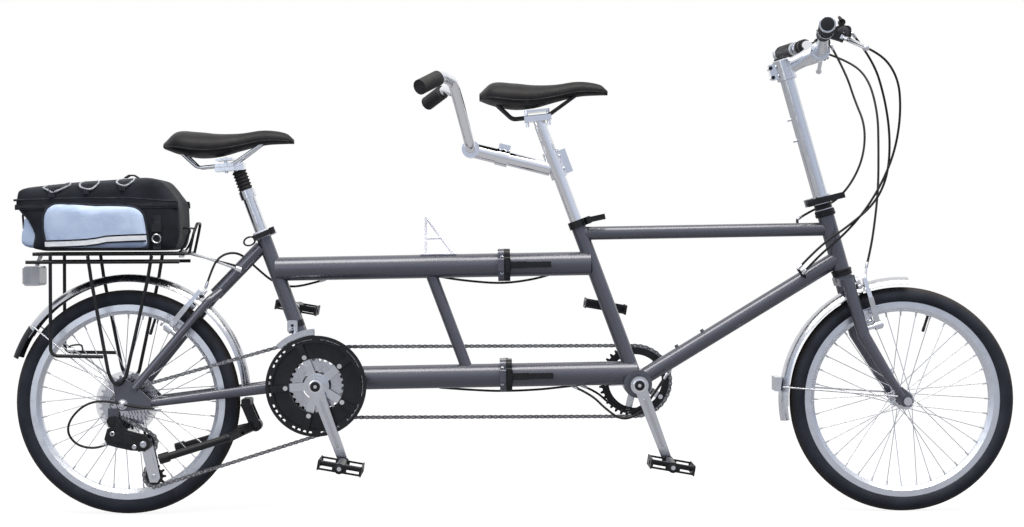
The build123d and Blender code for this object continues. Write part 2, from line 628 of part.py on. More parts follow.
def make_frame():
    stoker_tube = seat_tube_outside(STOKER_CRANK, STOKER_TUBE_LENGTH)
    captain_tube = seat_tube_outside(CAPTAIN_CRANK, CAPTAIN_TUBE_LENGTH)
    stoker_shell = barrel(STOKER_CRANK, -40, 40, STOKER_SHELL_RADIUS + 0.02)
    captain_shell = barrel(CAPTAIN_CRANK, -40, 40, CAPTAIN_SHELL_RADIUS + 0.02)
    save("stoker_seat_tube", *seat_tube(STOKER_CRANK, STOKER_TUBE_LENGTH, STOKER_SHELL_RADIUS))
    save("captain_seat_tube", *seat_tube(CAPTAIN_CRANK, CAPTAIN_TUBE_LENGTH, CAPTAIN_SHELL_RADIUS))

    bore = BEAM_RADIUS - TUBE_WALL
    rear_length, front_length = -490, 186
    upper = pipe(beam_point(UPPER_BEAM_Z, rear_length), beam_point(UPPER_BEAM_Z, -13.05),
                 BEAM_RADIUS, bore, stoker_tube)
    lower = pipe(beam_point(LOWER_BEAM_Z, -403), beam_point(LOWER_BEAM_Z, -13.05),
                 BEAM_RADIUS, bore, stoker_tube, stoker_shell)
    brace_top = (645.0, 0.0, 528.0)
    brace_foot = (733.5, 0.0, 292.0)
    brace = pipe(brace_top, brace_foot, BRACE_RADIUS, BRACE_RADIUS - TUBE_WALL,
                 beam_outside(UPPER_BEAM_Z), beam_outside(LOWER_BEAM_Z))
    save("rear_beams", biggest(upper), biggest(lower), biggest(brace))

    head_outside = rod(head_point(480), head_point(660), HEAD_TUBE_RADIUS + 0.02)
    front_upper = pipe(beam_point(UPPER_BEAM_Z, 13.05), beam_point(UPPER_BEAM_Z, front_length),
                       BEAM_RADIUS, bore, captain_tube)
    front_lower = pipe(beam_point(LOWER_BEAM_Z, 13.05), beam_point(LOWER_BEAM_Z, 281),
                       BEAM_RADIUS, bore, captain_shell, captain_tube)
    top_tube = pipe((973.5, 0, 597.8), (1509, 0, 605.1), TOP_TUBE_RADIUS,
                    TOP_TUBE_RADIUS - TUBE_WALL, captain_tube, head_outside)
    down_start = (CAPTAIN_CRANK_X, 0.0, 280.0)
    down_end = (1526.8, 0.0, 543.9)
    bosses = [rod(point, at(point, (unit(121.2), 9)), 4) for point in boss_points()]
    boss_holes = [rod(point, at(point, (unit(121.2), 12)), 2.1) for point in boss_points()]
    down_tube = pipe(down_start, down_end, DOWN_TUBE_RADIUS, DOWN_TUBE_RADIUS - TUBE_WALL,
                     captain_shell, head_outside, captain_tube)
    down_tube = cut(biggest(down_tube) + fuse(*bosses), *boss_holes)
    save("front_tubes", biggest(front_upper), biggest(front_lower), biggest(top_tube), down_tube)

    head = pipe(head_point(515), head_point(633), HEAD_TUBE_RADIUS, STEERER_RADIUS + RUNNING_GAP)
    lower_cup = pipe(head_point(505.5), head_point(514.98), 21, STEERER_RADIUS + RUNNING_GAP)
    upper_cup = pipe(head_point(633.02), head_point(646), 21, STEERER_RADIUS + RUNNING_GAP)
    cap = pipe(head_point(646.02), head_point(659.6), 18.5, STEERER_RADIUS + RUNNING_GAP)
    save("head_tube", head, lower_cup, upper_cup, cap)

    rear_pins = [rod(hinge_axis_point(z, -34.5), hinge_axis_point(z, 34.5), 2.98)
                 for z in (UPPER_BEAM_Z, LOWER_BEAM_Z)]
    save("rear_hinge_plates", hinge_half(UPPER_BEAM_Z, False), hinge_half(LOWER_BEAM_Z, False), *rear_pins)
    save("front_fittings", *latched_plate(UPPER_BEAM_Z), *latched_plate(LOWER_BEAM_Z),
         *seat_collar(CAPTAIN_CRANK, CAPTAIN_TUBE_LENGTH))
    save("upper_latch_lever", latch_lever(UPPER_BEAM_Z))
    save("lower_latch_lever", latch_lever(LOWER_BEAM_Z))
    save("stoker_seat_lever", stoker_seat_lever())
    save("captain_seat_lever", captain_seat_lever())
    make_stays(stoker_tube, stoker_shell)


def biggest(shape):
    """The main solid left after a tube is cut to fit its neighbours."""
    return max(shape.solids(), key=lambda solid: solid.volume)


def boss_points():
    """Centres of the two bottle bosses on the down tube, 64 mm apart."""
    along = unit(31.2)
    first = at((CAPTAIN_CRANK_X, 0, 280), (along, 112), (unit(121.2), DOWN_TUBE_RADIUS - 4))
    return first, at(first, (along, 64))


def head_point(z):
    """The point of the steering axis at a height."""
    return Vector(HEAD_X - (z - HEAD_Z) * math.tan(math.radians(HEAD_LEAN)), 0, z)


def seat_stay(side, radius):
    return bent_rod([(199, side * 9, 477), (178, side * 35, 458), (24, side * 65.2, 273)], radius, 16)


def make_stays(stoker_tube, stoker_shell):
    yoke = (188.0, 0.0, 470.0)
    mono = pipe((286, 0, 571), yoke, 14.5, 12.5, stoker_tube)
    solids = [biggest(mono)]
    mono_outside = rod((300, 0, 585.4), yoke, 14.55)
    for side in SIDES:
        solids.append(biggest(cut(seat_stay(side, 8.5), mono_outside)))
        chainstay = ellipse_loft((42, side * 59.5, 239.5), (390, side * 22, 281), (6.5, 8), (8, 13))
        solids.append(biggest(cut(chainstay, stoker_shell)))
        low, high = span(side, REAR_DROPOUT_HALF, REAR_DROPOUT_HALF + 4)
        outline = make_face(Polyline((-14, 240), (-20, 284), (-4, 297), (24, 284), (60, 249),
                                     (60, 230), (10, 226), (-8, 228), close=True))
        hanger = Pos(-20, 212) * Rectangle(22, 40) if side < 0 else Pos(-2, 232) * Rectangle(18, 12)
        plate = slab(outline + hanger - spot(REAR_AXLE, Circle(AXLE_RADIUS + 0.02)), low, high)
        solids[-1] = biggest(cut(solids[-1], plate))
        solids[-2] = biggest(cut(solids[-2], plate))
        solids.append(plate)
    axle = barrel(REAR_AXLE, -74, 74, AXLE_RADIUS)
    nuts = [barrel(REAR_AXLE, low, high, 9) - barrel(REAR_AXLE, -80, 80, AXLE_RADIUS + 0.02)
            for low, high in ((-72, -66.1), (66.1, 72))]
    save("rear_stays", *solids, axle, *nuts)


# ---- rear fittings ----
BRAKE_UP_REAR = unit(50.2)
BRAKE_BACK_REAR = unit(140.2)
REAR_PIVOT = (114.0, 0.0, 382.0)
BRAKE_UP_FRONT = HEAD_UP
FRONT_PIVOT = (1567.0, 0.0, 390.5)


def brake_stud(pivot, out, side, y, start, end):
    base = at(pivot, (LEFT, side * y))
    return rod(at(base, (out, start)), at(base, (out, end)), 5)


def brake_arm(pivot, out, up, side, y, offset, pad_up):
    """An arm that turns on its stud and carries a pad at the rim."""
    base = at(pivot, (LEFT, side * y), (out, offset))
    boss = rod(at(base, (out, -8)), at(base, (out, 8)), 8.5)
    knee = at(base, (up, 62), (LEFT, side * 2))
    top = at(base, (up, 104), (LEFT, -side * 6))
    arm = bar(base, knee, 9, 11) + bar(at(knee, (up, -3)), top, 8, 9)
    holder_start = at(base, (up, pad_up))
    holder = rod(at(holder_start, (LEFT, side * 7)), at(holder_start, (LEFT, side * (20.5 - y))), 4)
    pad_middle = at(holder_start, (LEFT, side * (18 - y)))
    block = bar(at(pad_middle, (out, -25)), at(pad_middle, (out, 25)), 8.4, 9)
    stud = rod(at(base, (out, -30)), at(base, (out, 30)), 5 + RUNNING_GAP)
    return cut(boss + arm + holder + block, stud)


def make_brakes():
    for name, side in (("left", 1), ("right", -1)):
        save("rear_brake_arm_" + name,
             brake_arm(REAR_PIVOT, BRAKE_BACK_REAR, BRAKE_UP_REAR, side, 45, 26, 15))
        save("front_brake_arm_" + name,
             brake_arm(FRONT_PIVOT, HEAD_AHEAD, BRAKE_UP_FRONT, side, 44, 36, 30.5))


def make_rear_fittings():
    studs = []
    for side in SIDES:
        outside = seat_stay(side, 8.55)
        studs.append(biggest(cut(brake_stud(REAR_PIVOT, BRAKE_BACK_REAR, side, 45, 0, 37), outside)))
    collar, pin = seat_collar(STOKER_CRANK, STOKER_TUBE_LENGTH)
    save("rear_fittings", *studs, collar, pin, *kickstand_bracket(), wire_bracket(), *changer_mount())


def kickstand_bracket():
    """A block between the chainstays with two cheeks that hold the stand's pivot pin."""
    block = slab(Pos(255, 238) * RectangleRounded(20, 18, 4), -26, 26)
    cheeks = []
    outline = make_face(Polyline((241, 234), (264, 240), (282, 198), (284, 182), (272, 178),
                                 (261, 190), (246, 226), close=True))
    for side in SIDES:
        cheeks.append(slab(outline, *span(side, 13, 17)))
    pin = barrel(STAND_PIVOT, -17, 17, 5)
    return cut(fuse(block, *cheeks), barrel(STAND_PIVOT, -30, 30, 5.02)), pin


def wire_bracket():
    """A bent wire bracket clipped on top of the rear upper beam."""
    foot_z = UPPER_BEAM_Z + BEAM_RADIUS + 1
    base = rod((628, -10, foot_z - 2.6), (706, -10, foot_z - 1.4), 2.4)
    back = rod((640, -10, foot_z), (640, 0, foot_z + 76), 2.4)
    front = rod((696, -10, foot_z + 1), (643.5, 0, foot_z + 72), 2.4)
    tie = rod((643, -6, foot_z + 31), (676, -5.5, foot_z + 32), 2.2)
    return cut(fuse(base, back, front, tie), beam_outside(UPPER_BEAM_Z))


def kickstand_leg(side):
    """A leg that steps out past the chainstay and runs back beside the wheel."""
    x, _, z = STAND_PIVOT
    root, shoulder = (x, side * 8, z), (x - 27, side * 40, z - 10)
    knee, foot = (x - 50, side * 81, z - 19), (94, side * 100, 131)
    hip = bar(root, shoulder, 12, 18, Vector(0.3, 0.95, 0))
    step = bar(shoulder, knee, 10, 18, Vector(0.87, 0.5, 0))
    shoe = rod((104, side * 99.6, 134), (84, side * 100.4, 128), 11)
    return fuse(hip, step, Pos(*knee) * Sphere(9), rod(knee, foot, 8), shoe)


def make_kickstand():
    """A two-legged stand, folded back beside the wheel."""
    yoke = barrel(STAND_PIVOT, -12.8, 12.8, 13)
    body = fuse(yoke, *[kickstand_leg(side) for side in SIDES])
    cheeks = [barrel(STAND_PIVOT, *span(side, 12.9, 17.1), 30) for side in SIDES]
    save("kickstand", cut(body, barrel(STAND_PIVOT, -40, 40, 5 + RUNNING_GAP), *cheeks))


def make_derailleurs():
    pivot_bolt = (-20, 0, 205)
    knuckle = slab(spot(pivot_bolt, Circle(11)), -80, -66.2)
    parallelogram = slab(make_face(Polyline((-28, 198), (-20, 188), (26, 148), (56, 146), (62, 160),
                                            (50, 176), (10, 186), (-8, 212), close=True)), -80, -68)
    guide, tension = GUIDE_PULLEY, TENSION_PULLEY
    spring_box = slab(spot(guide, Circle(13)), -80, -62)
    body = cut(fuse(knuckle, parallelogram, spring_box), slab(spot(guide, Circle(4.06)), -90, -60))
    save("rear_derailleur", body, barrel(pivot_bolt, -82.5, -80.1, 6))
    cage = make_face(Polyline((34, 168), (60, 168), (78, 84), (72, 74), (56, 74), (44, 120), close=True))
    outer = slab(cage, -60, -58)
    inner = slab(cage, -46, -44.4)
    pins = [rod((guide[0], -72, guide[2]), (guide[0], -44.4, guide[2]), 4),
            rod((tension[0], -60, tension[2]), (tension[0], -44.4, tension[2]), 4)]
    save("derailleur_cage", fuse(outer, inner, *pins))
    for name, centre in (("guide_pulley", guide), ("tension_pulley", tension)):
        wheel = sprocket(centre, PULLEY_TEETH, CHAIN_Y, 2, 4 + RUNNING_GAP)
        core = washer(centre, CHAIN_Y - 4.5, CHAIN_Y + 4.5, 8, 4 + RUNNING_GAP)
        save(name, wheel + core)


def make_front_derailleur():
    """The front derailleur: two curved plates either side of the chain, which slide in and out."""
    centre = STOKER_CRANK
    hub_spot = Pos(centre[0], centre[2])
    reach = 140

    def sector(low, high):
        corners = [at(centre, (unit(degrees), reach)) for degrees in (low, (low + high) / 2, high)]
        points = [(centre[0], centre[2])] + [(point.X, point.Z) for point in corners]
        return make_face(Polyline(*points, close=True))

    outer = slab(hub_spot * (Circle(121) - Circle(109)) & sector(92, 134), -60.6, -59.3)
    inner = slab(hub_spot * (Circle(121) - Circle(106)) & sector(92, 134), -43.4, -41.8)
    roof = slab(hub_spot * (Circle(121) - Circle(118.5)) & sector(92, 113), -60.6, -41.8)
    arm = bar((CHANGER_PIN[0], -28, 396), (CHANGER_PIN[0], -43, 392), 14, 10, Vector(1, 0, 0))
    block = slab(Pos(CHANGER_PIN[0], 402) * RectangleRounded(22, 26, 4), -35, -23.2)
    pin_hole = rod((CHANGER_PIN[0], -60, 404), (CHANGER_PIN[0], 0, 404), 3 + RUNNING_GAP)
    save("front_derailleur", cut(fuse(inner, outer, roof, arm, block), pin_hole))


def changer_mount():
    """The band round the seat tube and the pin that the front derailleur slides on."""
    low, high = seat_line(STOKER_CRANK, 130), seat_line(STOKER_CRANK, 143)
    band = cut(rod(low, high, SEAT_TUBE_RADIUS + 2), rod(low, high, SEAT_TUBE_RADIUS + 0.03))
    pin = rod((CHANGER_PIN[0], -15, 404), (CHANGER_PIN[0], -38, 404), 3)
    return band, cut(pin, rod(low, seat_line(STOKER_CRANK, 150), SEAT_TUBE_RADIUS + 2.03))


# ---- rack, bag, mudguards ----
RACK_Z = 558.0
RACK_HALF = 64.0
RACK_ROD = 3.75


def make_rack():
    rods = []
    for side in SIDES:
        y, foot_y = side * RACK_HALF, side * 71.5
        rods.append(rod((-189, y, RACK_Z), (133, y, RACK_Z), RACK_ROD))
        rods.append(bent_rod([(-73, y, RACK_Z - 3.9), (-66, y, 505), (-27, foot_y, 300), (-9, foot_y, 276),
                              (9, foot_y, 300), (54, y, 505), (62, y, RACK_Z - 3.9)],
                             RACK_ROD, [60, 60, 10, 10, 60]))
        rods.append(bent_rod([(-152, y, RACK_Z - 3.9), (-152, y, 343), (-40.5, side * 69, 341)],
                             RACK_ROD, 16))
        rods.append(rod((-202, side * 71.8, 541), (122, side * 71.8, 541), RACK_ROD))
        rods.append(slab(Pos(-9, 285) * Circle(4.6), *span(side, 66.2, 76)))
    inner = RACK_HALF - RACK_ROD - 0.1
    for x in (-185, -100, -20, 60, 129):
        rods.append(rod((x, -inner, RACK_Z), (x, inner, RACK_Z), RACK_ROD))
    stop = bent_rod([(137, -34, RACK_Z), (146, -34, 600), (152, -22, 622), (152, 22, 622),
                     (146, 34, 600), (137, 34, RACK_Z)], 3, 12)
    rods.append(stop)
    strut = bar((133, 0, RACK_Z - 1), (238, 0, 529.5), 14, 4)
    mono_outside = rod((300, 0, 585.4), (188, 0, 470), 14.55)
    last_rail = rod((129, -inner, RACK_Z), (129, inner, RACK_Z), RACK_ROD + 0.05)
    rods.append(biggest(cut(strut, mono_outside, last_rail)))
    lamp = slab(Pos(-200, 511) * RectangleRounded(34, 42, 6), -32, 32)
    arm = bar((-196, 0, 533), (-188, 0, 553.9), 22, 4)
    lens = slab(Pos(-219, 511) * RectangleRounded(3.5, 34, 1.5), -26, 26)
    save("rear_rack", *rods, lamp + arm, lens)


def make_bag():
    base = RACK_Z + RACK_ROD + 0.4
    outline = make_face(Polyline((-216, 575), (-198, base), (122, base), (124, 668), (110, 677),
                                 (80, 721), (-226, 698), (-229, 658), (-205, 632), close=True))
    main = slab(outline, -78, 78)
    main = fillet(main.edges().filter_by(GeomType.LINE).group_by(Axis.Y)[0], 9)
    main = fillet(main.edges().filter_by(GeomType.LINE).group_by(Axis.Y)[-1], 9)
    pockets = []
    for side in SIDES:
        low, high = span(side, 78.3, 104)
        pocket = make_face(Polyline((-192, 570), (46, 570), (46, 642), (20, 665), (-150, 665),
                                    (-186, 630), close=True))
        pockets.append(slab(pocket, low, high))
    save("rear_bag", main, *pockets)


def guard(centre, outer, start, sweep_degrees):
    """A channel-shaped mudguard with curved sides."""
    crown = Pos(0, outer - 26)
    section = crown * Circle(26) - crown * Circle(24.6)
    keep = Pos(0, outer - 26 + 10 + 25) * Rectangle(80, 50)
    return around(centre, section & keep, start, sweep_degrees)


def make_mudguards():
    middle = (2.0, 0.0, 253.0)
    rear = guard(middle, 261, 5, 144)
    flap = guard(middle, 262.6, 145, 16) - guard(middle, 261.1, 140, 30)
    stays = []
    for side in SIDES:
        stays.append(rod((-201, side * 26, 405), (-16, side * 68.2, 264), 1.8))
    save("rear_mudguard", rear, flap, *stays)
    front = guard(FRONT_AXLE, 262, 87, 96)
    front_flap = guard(FRONT_AXLE, 263.6, 176, 14) - guard(FRONT_AXLE, 262.1, 170, 30)
    clip = slab(Pos(1393, 274) * Rectangle(14, 30), -27, 27)
    clip = cut(clip, barrel(FRONT_AXLE, -40, 40, 263.7))
    for side in SIDES:
        stays.append(rod((1402, side * 26, 268), (1640, side * 57.5, 250), 1.8))
    save("front_mudguard", front, front_flap, clip, *stays[2:])


# ---- fork and cockpit ----
def fork_blade(side, crown_at):
    """One blade: straight, then tapering to a flat end that holds the axle."""
    top = at(crown_at, (LEFT, side * 39), (HEAD_UP, 4))
    bend, lower = (1571, side * 45, 378), (1626, side * 50.5, 286)
    tip = (1652, side * 53, 250)
    outline = make_face(Polyline((1634, 262), (1650, 270), (1670, 252), (1674, 238), (1668, 228),
                                 (1652, 228), (1636, 244), close=True))
    dropout = slab(outline, *span(side, FRONT_DROPOUT_HALF, FRONT_DROPOUT_HALF + 5))
    return fuse(rod(top, bend, 13.5), Pos(*bend) * Sphere(13.5), cone(bend, lower, 13.5, 10),
                Pos(*lower) * Sphere(10), cone(lower, tip, 10, 7), dropout)


def make_fork():
    crown_at = head_point(495)
    bore = rod(head_point(498), head_point(725), STEERER_RADIUS - 2)
    steerer = rod(head_point(492), head_point(720), STEERER_RADIUS)
    crown = bar(at(crown_at, (LEFT, -40)), at(crown_at, (LEFT, 40)), 34, 17, HEAD_AHEAD)
    race = rod(crown_at, head_point(505.3), 19)
    fork = fuse(crown, race, steerer, *[fork_blade(side, crown_at) for side in SIDES])
    hub_room = [barrel(FRONT_AXLE, *span(side, FRONT_DROPOUT_HALF - 16, FRONT_DROPOUT_HALF), 26)
                for side in SIDES]
    fork = cut(fork, *hub_room, bore, barrel(FRONT_AXLE, -80, 80, AXLE_RADIUS + 0.02))
    studs = [biggest(cut(brake_stud(FRONT_PIVOT, HEAD_AHEAD, side, 44, 0, 47), fork)) for side in SIDES]
    axle = barrel(FRONT_AXLE, -56, 56, AXLE_RADIUS)
    nuts = [barrel(FRONT_AXLE, -66, -56.1, 9), barrel(FRONT_AXLE, 56.1, 68, 9)]
    save("fork", biggest(fork), *studs, axle, *nuts)


def make_front_axle_lever():
    """The quick-release lever on the left end of the front axle, closed upright."""
    y = FRONT_LEVER_Y
    cam = rod((WHEELBASE - 8, y, TYRE_RADIUS), (WHEELBASE + 8, y, TYRE_RADIUS), 6.5)
    handle = bar((WHEELBASE, y + 1, TYRE_RADIUS + 2), (WHEELBASE - 8, y + 5, TYRE_RADIUS + 58), 7, 12)
    save("front_axle_lever", cam + handle)


def riser_collar(pin_at):
    """The clamp that holds the riser on the steerer; its ears carry the lever's pin."""
    low, high = head_point(661), head_point(676.5)
    ears = [bar(at(low, (HEAD_AHEAD, -27), (LEFT, side * 5)), at(high, (HEAD_AHEAD, -27), (LEFT, side * 5)),
                5, 18) for side in SIDES]
    ring = rod(head_point(660.2), head_point(677), 21.5)
    hole = rod(at(pin_at, (LEFT, -40)), at(pin_at, (LEFT, 40)), 2.52)
    return cut(fuse(ring, *ears), rod(head_point(640), head_point(700), RISER_RADIUS + 0.02), hole)


def bar_stem(riser_outside):
    """The clamp on top of the riser and the short neck that holds the bar."""
    low, high = head_point(928), head_point(969)
    bolt_block = bar(at(head_point(932), (HEAD_AHEAD, -25)), at(head_point(965), (HEAD_AHEAD, -25)), 22, 16)
    neck = rod(head_point(948), BAR_CENTRE, 14)
    body = fuse(rod(low, high, 20.5), bolt_block, neck, barrel(BAR_CENTRE, -24, 24, 19.5))
    return biggest(cut(body, riser_outside, barrel(BAR_CENTRE, -40, 40, BAR_SLEEVE_RADIUS + 0.07)))


def make_riser():
    riser_outside = rod(head_point(640), head_point(1020), RISER_RADIUS + 0.02)
    tube = pipe(head_point(659.8), head_point(STEM_TOP_Z), RISER_RADIUS, STEERER_RADIUS + RUNNING_GAP)
    pin_at = at(head_point(668.5), (HEAD_AHEAD, -29))
    pin = rod(at(pin_at, (LEFT, -24.3)), at(pin_at, (LEFT, 12)), 2.5)
    nubs = [cut(rod(head_point(z), at(head_point(z), (HEAD_AHEAD, -24)), 3.2), riser_outside)
            for z in (845, 800)]
    plug = rod(head_point(STEM_TOP_Z + 0.1), head_point(STEM_TOP_Z + 4), 16)
    save("riser", tube, riser_collar(pin_at), pin, *nubs, bar_stem(riser_outside), plug)

    cam_at = at(pin_at, (LEFT, -31))
    cam = rod(at(cam_at, (HEAD_UP, -7)), at(cam_at, (HEAD_UP, 7)), 6.5)
    start = at(cam_at, (unit(14), 2))
    save("riser_lever", cam + bar(start, at(start, (unit(14), 72), (LEFT, -3)), 7, 13))


CABLE_RADIUS = 2.5
CABLE_STARTS = {side: (1513, side * 131, 1000) for side in SIDES}


def lever_pivot(side, up=0.0):
    """A point on the pin that a brake lever turns about."""
    return at((1507, side * BRAKE_LEVER_Y, 1002), (LEVER_UP, up))


def control_body(side):
    """The brake lever's forked perch and the shifter's pod, each on a band round the bar."""
    perch_at = Vector(1472, side * BRAKE_LEVER_Y, 1010.7)
    perch_band = rod(at(perch_at, (LEFT, -7)), at(perch_at, (LEFT, 7)), 15)
    perch = bar(at(perch_at, (unit(0), 6)), lever_pivot(side), 16, 18)
    fork_end = rod(lever_pivot(side, -9), lever_pivot(side, 9), 7.5)
    slot = rod(lever_pivot(side, -4.8), lever_pivot(side, 4.8), 9.5)
    pin = rod(lever_pivot(side, -9), lever_pivot(side, 9), LEVER_PIN_RADIUS)
    adjuster = rod((1494, side * 131, 1005), (1511, side * 131, 1001), 3.5)
    pod = slab(Pos(1514, 1014) * RectangleRounded(34, 28, 8), *span(side, 108, 126))
    pod_arm = bar((1476, side * SHIFTER_Y, 1011), (1500, side * SHIFTER_Y, 1014), 12, 12)
    pod_band = rod((1475, side * 113, 1010.5), (1474, side * 125, 1010.7), 15)
    return fuse(cut(fuse(perch_band, perch, fork_end), slot), pin, adjuster, pod, pod_arm, pod_band)


def make_handlebar():
    tubes = [barrel(BAR_CENTRE, -38, 38, BAR_SLEEVE_RADIUS)]
    grips = []
    for side in SIDES:
        x, y, z = BAR_CENTRE[0], side * BAR_END[1], BAR_END[2]
        path = [(x, side * 0.2, BAR_CENTRE[2]), (x, side * 46, BAR_CENTRE[2]), (1478, side * 96, 1010),
                (1466, side * 190, z), (BAR_END[0] + 2, y - side * 8, z)]
        tubes.append(bent_rod(path, BAR_RADIUS, [40, 40, 150]))
        start, end = Vector(1468.5, side * 176, z), Vector(BAR_END[0], y, z)
        along = (end - start).normalized()
        grips.append(cut(rod(start, end, GRIP_RADIUS), rod(start - along * 20, end - along * 6, 11.2)))
    tube = fuse(*tubes)
    fitted = [cut(piece, tube) for piece in [control_body(side) for side in SIDES] + grips]
    save("handlebar", tube, *fitted)


def make_hand_levers():
    for name, side in (("left", 1), ("right", -1)):
        knee, tip = (1520, side * 156, 994.9), (1533, side * 262, 968)
        boss = rod(lever_pivot(side, -4.5), lever_pivot(side, 4.5), 7)
        root = cone(lever_pivot(side), knee, 3.8, 5.5)
        blade = cone(knee, tip, 5.5, 4.5)
        lever = fuse(boss, root, Pos(*knee) * Sphere(5.6), blade, Pos(*tip) * Sphere(7))
        hole = rod(lever_pivot(side, -9), lever_pivot(side, 9), LEVER_PIN_RADIUS + RUNNING_GAP)
        save("brake_lever_" + name, cut(lever, hole))
        knob = slab(Pos(1512, 1035.2) * Circle(7), *span(side, 112, 126))
        finger = bar((1512, side * SHIFTER_Y, 1036), (1507, side * 128, 1044), 12, 5)
        save("shift_lever_" + name, knob + finger)


# ---- seatposts, saddles and the stoker's bar ----
def saddle(tail_x, top_z):
    """A padded shell: broad at the back, narrow at the nose."""
    faces = []
    for back, top, bottom, width in SADDLE_SECTIONS:
        plane = Plane((tail_x + back, 0, top_z + (top + bottom) / 2), x_dir=(0, 1, 0), z_dir=(1, 0, 0))
        faces.append(plane * Ellipse(width / 2, (top - bottom) / 2))
    return loft(Sketch() + faces)


def saddle_rails(tail_x, top_z, shell):
    rails = []
    for side in SIDES:
        path = [(tail_x + 40, side * 30, top_z - 50), (tail_x + 74, side * 22, top_z - 82),
                (tail_x + 150, side * 22, top_z - 74), (tail_x + 214, side * 12, top_z - 28)]
        rails.append(biggest(cut(bent_rod(path, 3.5, 18), shell)))
    return rails


def tilted_block(middle, slope, back, ahead, up, width, thickness):
    """A plate under a saddle, from back to ahead of its middle along a slope."""
    along, above = unit(slope), unit(90 + slope)
    start, end = at(middle, (along, back), (above, up)), at(middle, (along, ahead), (above, up))
    return bar(start, end, width, thickness)


def captain_head(rails):
    """The post with its two-bolt saddle clamp."""
    post = pipe(seat_line(CAPTAIN_CRANK, 170), seat_line(CAPTAIN_CRANK, 592), POST_RADIUS, POST_RADIUS - 2)
    neck = rod(seat_line(CAPTAIN_CRANK, 584), seat_line(CAPTAIN_CRANK, 604), 12.4)
    middle = seat_line(CAPTAIN_CRANK, 606)
    cradle = tilted_block(middle, 6, -30, 28, 0, 52, 12)
    lid = tilted_block(middle, 6, -22, 22, 16, 52, 5)
    bolts = []
    for shift in (-24, 23):
        bolt_at = at(middle, (unit(6), shift))
        bolts.append(rod(at(bolt_at, (unit(96), -16)), at(bolt_at, (unit(96), 20)), 4))
    return biggest(cut(fuse(post, neck, cradle, lid, *bolts), *rails))


def stoker_stem_clamp():
    """The clamp round the captain's post, with the tongue that the stoker's stem slides on."""
    outside = rod(seat_line(CAPTAIN_CRANK, 470), seat_line(CAPTAIN_CRANK, 530), 18.5)
    low, high = seat_line(CAPTAIN_CRANK, 474), seat_line(CAPTAIN_CRANK, 526)
    ears = bar(at(low, (SEAT_AHEAD, 20)), at(high, (SEAT_AHEAD, 20)), 18, 22)
    slot_low, slot_high = seat_line(CAPTAIN_CRANK, 460), seat_line(CAPTAIN_CRANK, 540)
    slot = bar(at(slot_low, (SEAT_AHEAD, 26)), at(slot_high, (SEAT_AHEAD, 26)), 2, 22)
    post_room = rod(seat_line(CAPTAIN_CRANK, 440), seat_line(CAPTAIN_CRANK, 560), POST_RADIUS + 0.02)
    collar = biggest(cut(fuse(outside, ears, rod(BOOM_FRONT, boom_point(92), 15)), post_room, slot))
    bolts = []
    for up in (486, 514):
        bolt_at = at(seat_line(CAPTAIN_CRANK, up), (SEAT_AHEAD, 25))
        bolts.append(rod(at(bolt_at, (LEFT, -15)), at(bolt_at, (LEFT, 15)), 4))
    return biggest(fuse(collar, *bolts, rod(boom_point(91), boom_point(150), TONGUE_RADIUS)))


def make_captain_post():
    shell = saddle(CAPTAIN_SADDLE_X, CAPTAIN_SADDLE_Z)
    rails = saddle_rails(CAPTAIN_SADDLE_X, CAPTAIN_SADDLE_Z, shell)
    save("captain_seatpost", captain_head(rails), *rails, stoker_stem_clamp())
    save("captain_saddle", shell)


def boom_point(distance, down=0.0, left=0.0):
    """A point of the stoker's stem, measured back from the captain's post."""
    return at(BOOM_FRONT, (BOOM_BACK, distance), (BOOM_DOWN, down), (LEFT, left))


def stoker_stem():
    """The sliding sleeve with its two-bolt collar, and the clamp round the bar."""
    tongue_room = rod(boom_point(80), boom_point(155), TONGUE_RADIUS + RUNNING_GAP)
    sleeve = rod(boom_point(96), STOKER_BAR, 16.5)
    collar = rod(boom_point(93), boom_point(120), 19)
    lugs = bar(boom_point(94, 22), boom_point(119, 22), 16, 12)
    clamp = rod(at(STOKER_BAR, (LEFT, -26)), at(STOKER_BAR, (LEFT, 26)), 19)
    body = cut(fuse(sleeve, collar, lugs), tongue_room)
    bolts = [rod(boom_point(place, 24, -12), boom_point(place, 24, 12), 3.5) for place in (100, 113)]
    bar_room = rod(at(STOKER_BAR, (LEFT, -30)), at(STOKER_BAR, (LEFT, 30)), STOKER_SLEEVE_RADIUS + 0.02)
    return biggest(cut(fuse(body, *bolts, clamp), bar_room))


def make_stoker_bar():
    x, _, z = STOKER_BAR
    tubes = [rod((x, -40, z), (x, 40, z), STOKER_SLEEVE_RADIUS)]
    grips = []
    for side in SIDES:
        path = [(x, side * 30, z), (x, side * 72, z + 4), (716, side * 112, 862),
                (702, side * 142, 912), (680, side * 172, 922), (640, side * 222, 897)]
        tubes.append(bent_rod(path, BAR_RADIUS, [26, 40, 22, 22]))
        start, end = Vector(672, side * 182, 917), Vector(640, side * 222, 897)
        along = (end - start).normalized()
        bore = rod(start - along * 30, end + along * 0.5, 11.25)
        grips.append(cut(rod(start, end + along * 6, GRIP_RADIUS), bore))
    tube = fuse(*tubes)
    save("stoker_handlebar", stoker_stem(), tube, *[biggest(cut(grip, tube)) for grip in grips])


def make_stoker_post():
    """The lower tube of the sprung post and the nut that keeps the upper one in."""
    tube = pipe(seat_line(STOKER_CRANK, 190), seat_line(STOKER_CRANK, 436), POST_RADIUS,
                STANCHION_RADIUS + RUNNING_GAP)
    nut = pipe(seat_line(STOKER_CRANK, 426), seat_line(STOKER_CRANK, 444), 17,
               STANCHION_RADIUS + RUNNING_GAP,
               rod(seat_line(STOKER_CRANK, 400), seat_line(STOKER_CRANK, 436.02), POST_RADIUS + 0.02))
    save("stoker_seatpost", tube, nut)


